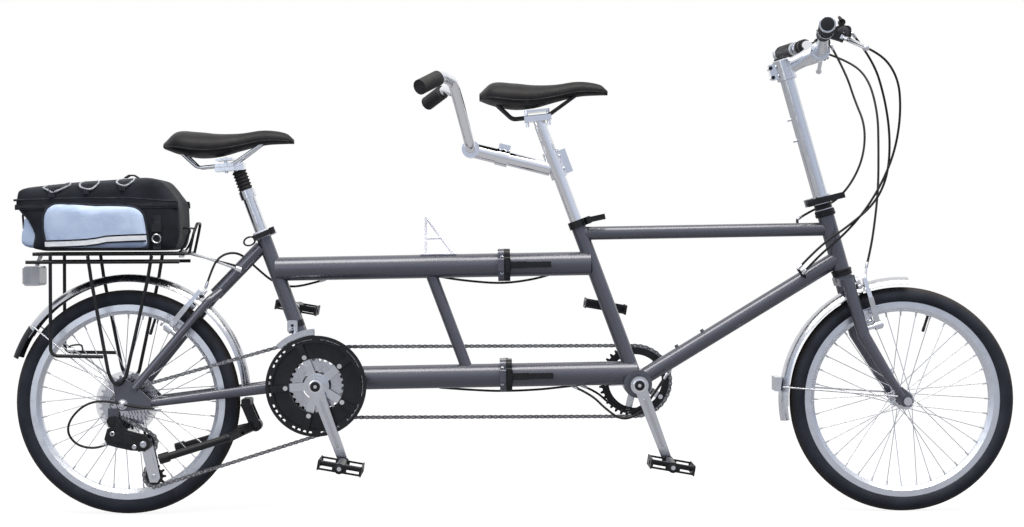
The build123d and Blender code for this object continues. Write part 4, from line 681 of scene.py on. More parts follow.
def make_chain(name, wheels, y):
    """A chain's side plates, pins and rollers; every other link is the wider one."""
    parts = chain_path(wheels)
    total = sum(part_length(part) for part in parts)
    count = 2 * round(total / LINK / 2)
    pins = [path_point(parts, total * index / count) for index in range(count)]
    piece = Piece(name, "chain")
    for index, pin in enumerate(pins):
        low, high = (1.2, 2.1) if index % 2 else (2.1, 3.0)
        for side in SIDES:
            inner, outer = sorted((y + side * low, y + side * high))
            link_plate(piece, pin, pins[(index + 1) % count], inner, outer, 4.1)
        piece.use("steel")
        for half, radius, sides in ((3.3, 1.5, 8), (1.2, 3.8, 10)):
            piece.lathe(spot(pin.x, y - half, pin.y), LEFT, [(0, radius), (2 * half, radius)], sides)
        piece.use("chain")
    return piece


def make_chains():
    pulley = pitch_radius(PULLEY_TEETH)
    drive = make_chain("drive_chain_links", [(STOKER_AHEAD, CRANK_UP, pitch_radius(DRIVE_TEETH)),
                                             (0, AXLE_UP, pitch_radius(COG_TEETH)),
                                             (*GUIDE_PLACE, -pulley), (*TENSION_PLACE, pulley)], CHAIN_Y)
    links = drive.done("rear_frame", "chain_steel")
    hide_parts("drive_chain")
    ring = pitch_radius(TIMING_TEETH)
    wheels = [(CAPTAIN_AHEAD, CRANK_UP, ring), (STOKER_AHEAD, CRANK_UP, ring)]
    timing = make_chain("timing_chain_links", wheels, TIMING_Y)
    links = timing.done(None, "chain_steel")
    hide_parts("timing_chain")
    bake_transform(links)


# ---- wheels ----
SPOKES_A_SIDE = 18
VALVE_AT = 72


def make_nipples():
    """Spoke nipples and a valve in each rim."""
    for body, axle in (("rear_wheel", REAR_AXLE), ("front_wheel", FRONT_AXLE)):
        piece = Piece(body + "_nipples", "steel")
        for side in SIDES:
            for index in range(SPOKES_A_SIDE):
                outward = unit((2 * index + (side + 1) / 2) * 180 / SPOKES_A_SIDE)
                piece.lathe(axle + outward * 188.2 * MM + LEFT * side * 2 * MM, -outward,
                            [(-1, 2.4), (1.5, 2.4), (2.5, 1.9), (9, 1.7), (10, 1.2)], 8)
        outward = unit(VALVE_AT)
        base = axle + outward * 189 * MM
        piece.use("black_plastic")
        piece.lathe(base, -outward, [(-2, 4), (2, 3.8), (4, 3), (26, 3), (28, 3.4), (36, 3.4), (38, 2.4)], 14)
        piece.use("bright")
        piece.lathe(base, -outward, [(0, 6), (2, 6), (2.6, 4.5)], 6)
        piece.done(body, "rim_alloy")


# ---- the bag on the rack ----
CLOTH_FRAMES = 20


def swell(obj, pressure, cap, voxel=0.006):
    """Fills a closed shell with air; no point moves further than the cap, in mm."""
    modifier = obj.modifiers.new("remesh", "REMESH")
    modifier.mode = "VOXEL"
    modifier.voxel_size = voxel
    rest = evaluated(obj)
    obj.modifiers.clear()
    swap_mesh(obj, rest)
    starts = [vertex.co.copy() for vertex in rest.vertices]
    cloth = obj.modifiers.new("cloth", "CLOTH")
    cloth.settings.use_pressure = True
    cloth.settings.uniform_pressure_force = pressure
    cloth.settings.effector_weights.gravity = 0
    cloth.settings.tension_stiffness = 30
    cloth.settings.bending_stiffness = 0.6
    cloth.point_cache.frame_end = CLOTH_FRAMES
    for step in range(1, CLOTH_FRAMES + 1):
        bpy.context.scene.frame_set(step)
    swollen = evaluated(obj)
    obj.modifiers.clear()
    swap_mesh(obj, swollen)
    bpy.context.scene.frame_set(1)
    for vertex, start in zip(swollen.vertices, starts):
        moved = vertex.co - start
        if moved.length > cap * MM:
            vertex.co = start + moved.normalized() * cap * MM
    smooth = obj.modifiers.new("smooth", "SMOOTH")
    smooth.iterations = 3
    smooth.factor = 0.4
    final = evaluated(obj)
    obj.modifiers.clear()
    swap_mesh(obj, final)
    for polygon in final.polygons:
        polygon.use_smooth = True


def evaluated(obj):
    """A new mesh of the object with its modifiers applied."""
    graph = bpy.context.evaluated_depsgraph_get()
    graph.update()
    return bpy.data.meshes.new_from_object(obj.evaluated_get(graph))


def swap_mesh(obj, mesh):
    mesh.materials.clear()
    for material in obj.data.materials:
        mesh.materials.append(material)
    obj.data = mesh


def rounded(outline, reach=7.0, steps=3):
    """A closed outline of (ahead, up) points in mm with its corners rounded."""
    points = []
    count = len(outline)
    for index in range(count):
        corner = Vector(outline[index])
        before, after = Vector(outline[index - 1]), Vector(outline[(index + 1) % count])
        back, on = before - corner, after - corner
        start = corner + back.normalized() * min(reach, back.length * 0.45)
        end = corner + on.normalized() * min(reach, on.length * 0.45)
        for step in range(steps + 1):
            share = step / steps
            points.append(start.lerp(corner, share).lerp(corner.lerp(end, share), share))
    return points


def puffy(piece, outline, layers):
    """A cushioned panel: the outline at each (left, inset in mm) layer, shrunk towards its middle."""
    points = rounded(outline)
    middle = sum(points, Vector((0, 0))) / len(points)
    rings = []
    for left, inset in layers:
        ring = []
        for point in points:
            away = point - middle
            moved = middle + away * max(1 - inset / away.length, 0.05)
            ring.append(spot(moved.x, left, moved.y))
        rings.append(ring)
    piece.skin(rings)


# outlines of (ahead, up) points, seen from the side
BAG_BODY = [(-190, 567), (116, 567), (124, 600), (122, 664), (109, 677), (84, 713), (60, 718), (-100, 708),
            (-220, 695), (-226, 660), (-203, 634), (-185, 600)]
SIDE_POCKET = [(-153, 570), (-161, 610), (-161, 638), (-154, 655), (-138, 664), (-90, 663), (-51, 661),
               (22, 658), (40, 653), (51, 640), (60, 583), (60, 570)]
TAIL_POCKET = [(-160, 571), (-200, 571), (-214, 582), (-208, 632), (-188, 648), (-160, 648)]
BAG_PRESSURE = 1.0


def soft_shell(name, material, outline, layers, cap):
    """A swollen fabric part of the bag, filled at BAG_PRESSURE; cap is how far its cloth may move, in mm."""
    piece = Piece(name, material)
    puffy(piece, outline, layers)
    shell = piece.done(None)
    swell(shell, BAG_PRESSURE, cap)
    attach(shell, "rear_frame")
    return shell


def strip(piece, line, half_width, left, thick):
    """A flat band along a line of (ahead, up) points, standing proud of a side panel at y = left."""
    side = 1 if left > 0 else -1
    rings = []
    for index, (ahead, up) in enumerate(line):
        before = Vector(line[max(index - 1, 0)])
        after = Vector(line[min(index + 1, len(line) - 1)])
        along = (after - before).normalized()
        across = Vector((-along.y, along.x)) * half_width
        low, high = Vector((ahead, up)) - across, Vector((ahead, up)) + across
        outer = left + side * thick
        rings.append([spot(low.x, left, low.y), spot(high.x, left, high.y),
                      spot(high.x, outer, high.y), spot(low.x, outer, low.y)])
    piece.skin(rings)


def between(line, count):
    """More points along a line of (ahead, up) points."""
    points = []
    for (ax, az), (bx, bz) in zip(line, line[1:]):
        for step in range(count):
            share = step / count
            points.append((ax + (bx - ax) * share, az + (bz - az) * share))
    return points + [line[-1]]


STRIPE = [(-154, 579), (-110, 580), (-69, 582), (-45, 585), (-25, 589), (20, 591), (58, 592)]
ZIPPER = [(-223, 657), (-100, 658), (0, 659.5), (121, 661)]
LID_EDGE = [(-226, 672), (-100, 676), (20, 676), (120, 668)]


def make_bag_body():
    """The bag's body, its side pockets and its tail pocket."""
    body = soft_shell("bag_body", "nylon", BAG_BODY,
                      [(-74, 3), (-70, 0), (0, 0), (70, 0), (74, 3)], 2.5)
    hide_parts("rear_bag")
    for side, word in ((-1, "right"), (1, "left")):
        soft_shell("bag_pocket_" + word, "blue_nylon", SIDE_POCKET,
                   [(side * 70, 2), (side * 86, 0), (side * 95, 4), (side * 99, 14)], 1.5)
    soft_shell("bag_tail_pocket", "blue_nylon", TAIL_POCKET,
               [(-66, 6), (-70, 0), (0, 0), (70, 0), (66, 6)], 1.5)


def side_view(points, left):
    """Points given as (ahead, up), all at one distance to the left."""
    return [spot(ahead, left, up) for ahead, up in points]


def make_bag_trim():
    """Zips, piping, reflective stripes, straps with their rings, a handle and the tail pocket's puller."""
    trim = Piece("bag_trim", "webbing")
    for side in SIDES:
        stripe = between(STRIPE, 3)
        strip(trim.use("reflective"), stripe, 5, side * 98.5, 3.2)
        for shift in (6.6, -6.6):
            strip(trim.use("nylon"), [(ahead, up + shift) for ahead, up in stripe], 1.8, side * 98.5, 3)
        strip(trim.use("webbing"), between(ZIPPER, 6), 5.5, side * 73, 4.8)
        strip(trim.use("black_plastic"), between(ZIPPER, 60), 1.6, side * 77, 1.8)
        trim.use("webbing").tube(side_view(between(LID_EDGE, 8), side * 75), 2.4)
        trim.tube(side_view(rounded(SIDE_POCKET), side * 87), 2.3, loop=True)
        strip(trim, [(76, 568), (76, 600), (76, 640)], 8, side * 76, 3)
        buckle = box_outline(spot(76, side * 79, 612), unit(0) * 11 * MM, unit(90) * 8 * MM)
        trim.use("black_plastic").slab(buckle, LEFT * side * 4 * MM, 1)
        ring = arc(spot(76, side * 82, 590), unit(0), unit(90), 9, 0, 350, 14)
        trim.use("steel").tube(ring, 1.6)
    trim.use("webbing").tube(side_view([(-223, 657), (-226, 640), (-224, 612)], 0), 2.5)
    handle = between([(-10, 712), (-4, 721), (4, 726), (14, 726), (22, 721), (28, 712)], 3)
    rings = []
    for index, (ahead, up) in enumerate(handle):
        before, after = handle[max(index - 1, 0)], handle[min(index + 1, len(handle) - 1)]
        out = Vector((-(after[1] - before[1]), after[0] - before[0])).normalized() * 1.4
        rings.append([spot(ahead - out.x, -12, up - out.y), spot(ahead + out.x, -12, up + out.y),
                      spot(ahead + out.x, 12, up + out.y), spot(ahead - out.x, 12, up - out.y)])
    trim.skin(rings)
    trim.done("rear_frame", "bag_fabric")


ELASTIC = (((-165, 702), (-150, 692), (-140, 689), (-107, 707)),
           ((-88, 709), (-83, 699), (-62, 695), (-47, 712)),
           ((-10, 714), (-5, 706), (11, 702), (27, 716)))


def lid_height(ahead):
    """How high the top of the lid is, in mm."""
    return 695 + (ahead + 220) * 0.108 if ahead < -100 else 708 + (ahead + 100) * 0.0625


def make_elastic():
    """Grey elastic cord laced over the lid, held by loops at its edge."""
    cords = Piece("bag_elastic", "bungee")
    for edge in ELASTIC:
        start, finish = edge[0][0], edge[3][0]
        low = Vector(edge[1]).lerp(Vector(edge[2]), 0.5)
        for side in SIDES:
            places = [spot(start, side * 70, lid_height(start) - 3), *side_view(edge[1:3], side * 79),
                      spot(finish, side * 70, lid_height(finish) - 3)]
            cords.use("bungee").tube(curve_through(places, 24), 2.0)
            holder = box_outline(spot(low.x, side * 78, low.y - 4), unit(0) * 6 * MM, unit(90) * 9 * MM)
            cords.use("webbing").slab(holder, LEFT * side * 3 * MM, 1)
        cords.use("bungee")
        middle = (start + finish) / 2
        for first, second in ((start, finish), (finish, start)):
            crossing = [(first, -70, lid_height(first) - 3),
                        (first * 0.8 + middle * 0.2, -55, lid_height(first) + 1.5),
                        (middle, 0, lid_height(middle) + 3),
                        (second * 0.8 + middle * 0.2, 55, lid_height(second) + 1.5),
                        (second, 70, lid_height(second) - 3)]
            cords.tube(curve_through([spot(*place) for place in crossing], 32), 2.0)
    cords.done("rear_frame", "bag_fabric")


def curve_through(points, count):
    """Points on a smooth curve that passes through every given point."""
    ends = [points[0] * 2 - points[1]] + points + [points[-1] * 2 - points[-2]]
    steps = count // (len(points) - 1)
    made = []
    for index in range(1, len(ends) - 2):
        before, first, second, after = ends[index - 1:index + 3]
        for step in range(steps):
            t = step / steps
            made.append((first * 2 + (second - before) * t
                         + (before * 2 - first * 5 + second * 4 - after) * t * t
                         + (first * 3 - before - second * 3 + after) * t ** 3) * 0.5)
    return made + [points[-1]]


# ---- saddles ----
# distance from the tail, height of the top, height of the lower edge, width
SADDLE = ((3, -27, -42, 66), (30, -4, -52, 126), (75, -4, -61, 148), (120, -8, -58, 118), (165, -7, -46, 70),
          (215, -1, -34, 48), (262, -8, -31, 40), (278, -21, -31, 24))
SEAM_SHARE = 0.3


def saddle_at(distance):
    """A saddle's top, bottom and width so many mm from its tail, smoothly between the sections."""
    for index, (first, second) in enumerate(zip(SADDLE, SADDLE[1:])):
        if distance <= second[0]:
            break
    before = SADDLE[max(index - 1, 0)]
    after = SADDLE[min(index + 2, len(SADDLE) - 1)]
    span = second[0] - first[0]
    t = (distance - first[0]) / span
    values = []
    for place in (1, 2, 3):
        low = (second[place] - before[place]) / max(second[0] - before[0], 1) * span
        high = (after[place] - first[place]) / max(after[0] - first[0], 1) * span
        values.append(first[place] * (2 * t ** 3 - 3 * t * t + 1) + low * (t ** 3 - 2 * t * t + t)
                      + second[place] * (3 * t * t - 2 * t ** 3) + high * (t ** 3 - t * t))
    return values


def clamped(value):
    return min(1, max(0, value))


def make_saddle(node_name, body, tail, top):
    """A padded saddle: a crowned top over a seam, and a hard base below it."""
    cover = Piece(node_name + "_cover", "saddle")
    rings = []
    for step in range(45):
        distance = 3 + 275 * (0.5 - 0.5 * math.cos(math.pi * step / 44))
        high, low, width = saddle_at(distance)
        seam = low + (high - low) * SEAM_SHARE
        ring = []
        for turn in range(32):
            angle = 2 * math.pi * turn / 32
            across, rise = math.cos(angle), math.sin(angle)
            if rise >= 0:
                groove = 3.0 * math.exp(-(across / 0.16) ** 2)
                groove *= clamped((distance - 20) / 40) * clamped((240 - distance) / 60)
                up = seam + (high - seam) * rise ** 0.8 - groove
                pull = 1.0
            else:
                up = seam + (seam - low) * rise
                pull = 1.0 + 0.03 * rise
            ring.append(spot(tail + distance, across * pull * width / 2, top + up))
        rings.append(ring)
    cover.skin(rings)
    cover.use("black_plastic")
    for side in SIDES:
        line = []
        for step in range(30):
            distance = 8 + 262 * step / 29
            high, low, width = saddle_at(distance)
            line.append(spot(tail + distance, side * (width / 2 + 0.2), top + low + (high - low) * 0.28))
        cover.tube(line, 1.3, 6)
    made = cover.done(body, "saddle_cover", 60)
    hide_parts(node_name)


def make_boot():
    """Rubber bellows over the sprung post."""
    piece = Piece("suspension_bellows", "rubber")
    profile = [(0, 14.2)]
    for fold in range(6):
        low = 2.6 + fold * 7.2
        profile += [(low, 13.4), (low + 1.2, 15.4), (low + 2.4, 16), (low + 3.6, 15.4), (low + 4.8, 13.4)]
    profile += [(44.6, 14.2)]
    piece.lathe(seat_line(STOKER_CRANK, 444.3), SEAT_UP, profile, 32)
    boot = piece.done("stoker_saddle", "soft_black")
    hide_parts("suspension_boot")
    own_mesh(boot)


# ---- cables: points are (ahead, left, up) in mm, lengths in metres ----
HOUSING = 5.0
BAR_HOUSINGS = {
    "rear_brake_cable": (((1513, -131, 1000), (1585, -124, 978), (1635, -96, 925), (1648, -62, 850),
                          (1640, -40, 770), (1612, -34, 700), (1575, -30, 640), (1530, -30, 590),
                          (1478, -30, 548), (1445, -24, 510)), 0.6444),
    "rear_shift_cable": (((1534, -119, 1012), (1580, -104, 960), (1610, -80, 880), (1630, -40, 800),
                          (1628, -26, 720), (1600, -30, 660), (1540, -34, 610), (1480, -34, 570),
                          (1434, -30, 520)), 0.6118),
    "front_shift_cable": (((1534, 119, 1012), (1565, 108, 950), (1580, 90, 890), (1598, 60, 830),
                           (1590, 44, 760), (1560, 36, 700), (1520, 32, 660), (1480, 28, 650),
                           (1440, 12, 626)), 0.4864),
}
FRONT_BRAKE_HOUSING = ((1513, 131, 1000), (1570, 122, 980), (1610, 90, 940), (1625, 60, 860), (1622, 40, 780),
                       (1618, 26, 690), (1606, 12, 610), (1596, 4, 560), (1586, 0, 522))
LOOPS = {
    "rear_brake_loop": (((420, 24, 500), (379, 25, 488), (343, 26, 484), (308, 28, 495), (273, 18, 526),
                         (244, 0, 556), (219, -12, 560), (196, -24, 548), (183, -32, 520),
                         (172, -34, 486)), "rear_frame", 0.3286),
    "rear_shift_loop": (((80, -70, 230), (29, -72, 233), (-32, -76, 250), (-74, -80, 244), (-106, -82, 214),
                         (-114, -82, 184), (-98, -81, 160), (-74, -79, 150), (-46, -77, 150),
                         (-24, -76, 160)), "rear_frame", 0.3326),
    "bottom_shift_loop": (((1154, -22, 296), (1124, -30, 252), (1098, -32, 214), (1059, -30, 198),
                           (1024, -24, 222), (993, -10, 253), (956, 10, 268)), "front_frame", 0.2699),
    "bottom_brake_loop": (((1166, 20, 302), (1138, 22, 258), (1106, 24, 222), (1066, 24, 210),
                           (1032, 20, 232), (1004, 12, 258), (974, 8, 270)), "front_frame", 0.2499),
}
FOLD_LOOPS = {
    "upper_fold_cable": (((915, 20, 512), (893, 30, 504), (850, 38, 495), (801, 38, 490), (745, 38, 494),
                          (690, 30, 501), (662, 20, 507)), 0.261),
    "lower_fold_cable": (((975, 18, 271), (930, 30, 265), (880, 38, 259), (800, 38, 256), (740, 38, 259),
                          (696, 28, 263), (668, 18, 266)), 0.3127),
}


def cord_curve(name, points):
    """A cable housing through the points' smooth curve."""
    curve = bpy.data.curves.new(name, "CURVE")
    curve.dimensions = "3D"
    spline = curve.splines.new("NURBS")
    spline.points.add(len(points) - 1)
    for target, point in zip(spline.points, points):
        target.co = (*spot(*point), 1)
    spline.order_u = 3
    spline.use_endpoint_u = True
    spline.resolution_u = 12
    curve.bevel_depth = HOUSING / 2 * MM
    curve.bevel_resolution = 3
    curve.use_fill_caps = True
    curve.materials.append(MATERIALS["housing"])
    obj = bpy.data.objects.new(name, curve)
    bpy.context.scene.collection.objects.link(obj)
    return obj


def cord_tube(name, points):
    """A mesh housing along the points' smooth curve, and its centre line."""
    guide = cord_curve(name + "_line", points)
    guide.data.bevel_depth = 0
    line = [vertex.co.copy() for vertex in evaluated(guide).vertices]
    bpy.data.objects.remove(guide)
    piece = Piece(name, "housing")
    piece.tube(line, HOUSING / 2, 12)
    return piece.done(None, "cable_housing"), line


def ferrule(name, place, behind, body, lead=1):
    """A metal ferrule on the end of a housing."""
    piece = Piece(name, "steel")
    start, along = spot(*place), (spot(*behind) - spot(*place)).normalized()
    piece.lathe(start, along, [(-lead, 2.6), (0, 3.3), (11, 3.3), (12, 2.7)], 14)
    return piece.done(body, "polished_alloy")


def make_cables():
    """The housings from the bar; the front brake's rides the fork."""
    for name, (points, length) in BAR_HOUSINGS.items():
        tube, line = cord_tube(name, points)
        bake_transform(tube)
        if name == "rear_brake_cable":
            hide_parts("control_cables")
        ends = [ferrule(name + "_bar_ferrule", points[0], points[1], "riser"),
                ferrule(name + "_frame_ferrule", points[-1], points[-2], "front_frame")]
    points = FRONT_BRAKE_HOUSING
    brake = cord_curve("front_brake_cable", points)
    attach(brake, "fork")
    ends = [ferrule("front_brake_bar_ferrule", points[0], points[1], "riser"),
            ferrule("front_brake_arm_ferrule", points[-1], points[-2], "fork")]


def make_loops():
    """Short free loops of housing along the frame; two of them cross the fold."""
    for name, (points, body, length) in LOOPS.items():
        obj = cord_curve(name, points)
        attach(obj, body)
        ends = [ferrule(name + "_first_ferrule", points[0], points[1], body, 3),
                ferrule(name + "_last_ferrule", points[-1], points[-2], body, 3)]
    for name, (points, length) in FOLD_LOOPS.items():
        tube, line = cord_tube(name, points)
        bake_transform(tube)


# ---- handlebar and controls ----
GRIP_START, GRIP_END = (1468.5, 176, 1011), (1449, 300, 1011)
GRIP_RADIUS = 16.0
GRIP_RIBS = 14
BAR_CENTRE = spot(1485, 0, 986)


def make_grips():
    """Ribs and end rings on the captain's rubber grips."""
    piece = Piece("captain_grip_rings", "grip")
    radius = GRIP_RADIUS
    rib = [(-2.2, radius - 0.4), (-1.3, radius + 0.7), (1.3, radius + 0.7), (2.2, radius - 0.4)]
    end_ring = [(-5, radius + 0.2), (-4.4, radius + 0.9), (-0.6, radius + 0.9), (0.2, radius - 0.2)]
    lock_ring = [(-0.6, radius - 0.5), (0, radius + 0.9), (4, radius + 0.9), (4.6, radius - 0.4)]
    plug = [(0, radius - 2), (0.9, radius - 3), (1.3, radius - 6), (1.3, 0.1)]
    for side in SIDES:
        first, last = (spot(ahead, side * left, up) for ahead, left, up in (GRIP_START, GRIP_END))
        along = (last - first).normalized()
        length = (last - first).length / MM
        piece.use("grip")
        for step in range(GRIP_RIBS):
            piece.lathe(first + along * (14 + step * (length - 34) / (GRIP_RIBS - 1)) * MM, along, rib, 28)
        piece.use("steel").lathe(last, along, end_ring, 28)
        piece.lathe(first, along, lock_ring, 28)
        piece.use("black_plastic").lathe(last, along, plug, 24)
    piece.done("riser", "soft_black")


def make_shifters():
    """The shifters' covers, gear windows and cable adjusters."""
    piece = Piece("control_covers", "black_plastic")
    lever_up = unit(61.35)
    for side in SIDES:
        outward = LEFT * side
        piece.use("dark_grey")
        piece.lathe(spot(1514, side * 106.5, 1014), outward, [(0, 11), (1, 13), (3, 13.4)], 26)
        piece.lathe(spot(1514, side * 125.9, 1014), outward, [(-1, 13), (1.6, 12), (2.4, 10), (2.4, 0.1)], 26)
        piece.use("lens")
        piece.lathe(spot(1521, side * 117, 1026), unit(60), [(-1, 6.4), (1.6, 6), (2.6, 4.4), (3, 0.2)])
        piece.use("steel")
        piece.lathe(spot(1531, side * 119, 1012), unit(0), [(-6, 4), (2, 4), (3, 3.4), (7, 3.4)], 12)
        piece.bolt(spot(1507, side * 142, 1002) + lever_up * 8.6 * MM, lever_up, 3.6, 1.8)
        piece.use("black_plastic").bolt(spot(1472, side * 142, 997), unit(-100), 3, 2)
    piece.done("riser", "soft_black")


def make_stem():
    """Bolts of the clamp and the bar's face plate, the riser's cap and the cam of its lever."""
    piece = Piece("stem_fittings", "black")
    for up in (938, 958):
        place = head_point(up, -30)
        piece.use("bright").lathe(place - LEFT * 13 * MM, LEFT, [(0, 4.6), (26, 4.6)], 16)
        for side, height in ((-1, 3), (1, 2)):
            piece.use("black").bolt(place + LEFT * side * 13 * MM, LEFT * side, 4.2, height)
    for left in (-16, 16):
        for out in (unit(52), unit(-42)):
            place = BAR_CENTRE + LEFT * left * MM
            piece.use("bright").lathe(place + out * 19 * MM, out, [(-3, 4.6), (3, 4.6), (3.6, 3.8)], 14)
            piece.use("black").bolt(place + out * 22 * MM, out, 3, 2.4)
    cap = [(-3, 16.4), (0, 16.6), (1.4, 15.4), (1.8, 9), (1.8, 0.1)]
    piece.use("black_plastic").lathe(head_point(972.4), HEAD_UP, cap, 32)
    piece.use("black").bolt(head_point(973.6), HEAD_UP, 5, 2.2)
    piece.done("riser", "black_metal")
    lever = Piece("riser_lever_cover", "black")
    cam = head_point(668.5, -29, -31)
    lever.lathe(cam - HEAD_UP * 7.6 * MM, HEAD_UP, [(0, 6.8), (1, 7.4), (14.2, 7.4), (15.2, 6.8)], 24)
    lever.use("steel").bolt(cam + HEAD_UP * 7.4 * MM, HEAD_UP, 3.6, 1.4)
    lever.done("riser_clamp", "black_metal")


def make_headset():
    """The headset's cups and spacer."""
    piece = Piece("headset_cups", "black_plastic")
    upper = [(0, 20.5), (1.2, 22), (5, 22), (6, 20.8), (7.2, 21.6), (12, 21.4), (13, 19.4)]
    lower = [(0, 20.5), (1.2, 22), (5, 22), (6, 20.6), (10, 20.6), (11, 19.2)]
    spacer = [(0, 19.2), (0.5, 19.6), (2.2, 19.6), (2.6, 19)]
    piece.lathe(head_point(634), HEAD_UP, upper, 40)
    piece.use("black").lathe(head_point(519), -HEAD_UP, lower, 40)
    piece.use("steel").lathe(head_point(646.5), HEAD_UP, spacer, 40)
    piece.done("front_frame", "black_metal")


def make_stem_body():
    """The stem's smooth shell from the riser's clamp to the bar."""
    piece = Piece("stem_shell", "alloy")
    start = head_point(949, -2)
    along = (BAR_CENTRE - start).normalized()
    up = LEFT.cross(along) * -1
    rings = []
    for distance, tall, broad in ((0, 17, 17), (14, 17.5, 18), (30, 16, 16.5), (48, 16.5, 18), (60, 19, 23),
                                  (72, 20.5, 25)):
        ring = []
        for step in range(28):
            angle = 2 * math.pi * step / 28
            across, rise = math.cos(angle), math.sin(angle)
            size = (abs(across) ** 3 + abs(rise) ** 3) ** (-1 / 3)
            ring.append(start + along * distance * MM + LEFT * across * size * broad * MM
                        + up * rise * size * tall * MM)
        rings.append(ring)
    piece.skin(rings)
    piece.lathe(head_point(925), HEAD_UP, [(0, 17), (1.5, 21.4), (44, 21.4), (46, 19.5), (47, 17)], 40)
    clamp = [(0, 13.4), (0.3, 20.4), (1.5, 21), (48.5, 21), (49.7, 20.4), (50, 13.4)]
    piece.lathe(BAR_CENTRE - LEFT * 25 * MM, LEFT, clamp, 40)
    piece.done("riser", "polished_alloy")


def make_cable_stops():
    """The small stops on the frame that the housings from the bar end in, and the front brake's wire."""
    piece = Piece("cable_stops", "black")
    for place, foot in (((1445, -24, 510), (1455, -12, 499)), ((1434, -30, 520), (1447, -12, 506)),
                        ((1440, 12, 626), (1440, 8, 612))):
        piece.tube([spot(*place), spot(*foot)], 3.0, 10)
    piece.done("front_frame", "black_metal")
    lead = Piece("front_brake_lead", "steel")
    wire = [spot(1586, 0, 524), spot(1584, -4, 506), spot(1580, -14, 492), spot(1574, -28, 484)]
    lead.tube(curve_through(wire, 24), 2.2, 10)
    lead.done("fork", "polished_alloy")


# ---- small parts of the frame and drive ----
RIDERS = (("stoker", STOKER_CRANK), ("captain", CAPTAIN_CRANK))
CRANK_ARMS = (("right", -1, -SEAT_UP), ("left", 1, SEAT_UP))


def make_chainset_details():
    """Crank bolts in their dust caps, the flutes of the arms and the ends of the pedals' axles."""
    for rider, centre in RIDERS:
        body = rider + "_crank"
        piece = Piece(body + "_caps", "black_plastic")
        for _, side, direction in CRANK_ARMS:
            outward = LEFT * side
            face = centre + outward * CRANK_OUT * MM
            piece.use("bright").lathe(face, outward, [(-1, 14.2), (0.8, 14), (1.2, 13), (1.2, 11)], 32)
            cap = [(-1, 11), (1.4, 10.6), (1.9, 8.6), (1.9, 4), (0.9, 3.4), (0.9, 0.1)]
            piece.use("black_plastic").lathe(face, outward, cap, 28)
            across = direction.cross(LEFT).normalized()
            flute = box_outline(face + direction * 84 * MM, direction * 54 * MM, across * 3.4 * MM)
            piece.use("steel").slab(flute, outward * 0.5 * MM, 0.4)
            axle = [(-1, 7.6), (0.5, 7.4), (0.8, 6.4), (0.3, 4), (0.3, 0.1)]
            piece.use("bright").lathe(face + direction * CRANK_ARM * MM, outward, axle, 24)
        piece.done(body, "polished_alloy")


def make_pedal_teeth():
    """Teeth along the cage of each pedal, its reflectors and the axle's end cap."""
    ahead, up = unit(-10), unit(80)
    for rider, centre in RIDERS:
        for word, side, direction in CRANK_ARMS:
            name = f"{rider}_pedal_{word}"
            middle = centre + direction * CRANK_ARM * MM + LEFT * side * PEDAL_OUT * MM
            piece = Piece(name + "_teeth", "black")
            for front in (-1, 1):
                piece.use("black")
                for step in range(9):
                    base = middle + ahead * front * 44.6 * MM + LEFT * (step - 4) * 9.6 * MM
                    for top in (-1, 1):
                        root = box_outline(base + up * top * 8.6 * MM, ahead * 1.3 * MM, LEFT * 2.9 * MM)
                        piece.slab(root, up * top * 2.2 * MM, 0.9)
                plate = box_outline(middle + ahead * front * 46.2 * MM, up * 4.6 * MM, LEFT * 17 * MM)
                piece.use("red").slab(plate, ahead * front * 1.6 * MM, 0.5)
            cap = middle + LEFT * side * 44.6 * MM
            piece.use("black_plastic").lathe(cap, LEFT * side, [(-1, 9.4), (1.4, 9), (2.2, 7.4), (2.2, 0.1)])
            piece.done(name, "black_metal")


def make_cassette_details():
    """The cassette's lock ring and the axle nuts."""
    ring = Piece("cassette_lock_ring", "steel")
    ring.lathe(REAR_AXLE - LEFT * 59.2 * MM, -LEFT, [(-1.5, 15), (0.2, 15), (0.7, 14), (0.7, 9.4)], 36)
    ring.done("cassette", "polished_alloy")
    nuts = Piece("rear_axle_nuts", "steel")
    for side in SIDES:
        outward = LEFT * side
        place = REAR_AXLE + outward * 66.2 * MM
        nuts.lathe(place, outward, [(-0.4, 11), (1.4, 11)], 28)
        nuts.lathe(place + outward * 1.4 * MM, outward, [(0, 8.4), (6, 8.4), (7.2, 7), (7.2, 5)], 6)
        nuts.lathe(place + outward * 8 * MM, outward, [(0, 5), (3, 5), (3.6, 4.2)], 16)
    nuts.done("rear_frame", "polished_alloy")
    nut = Piece("front_axle_nut", "bright")
    profile = [(-1, 8.8), (1, 8.8), (6, 8), (7.6, 6), (8, 3.4), (8, 0.1)]
    nut.lathe(FRONT_AXLE - LEFT * 57 * MM, -LEFT, profile, 28)
    nut.done("fork", "polished_alloy")


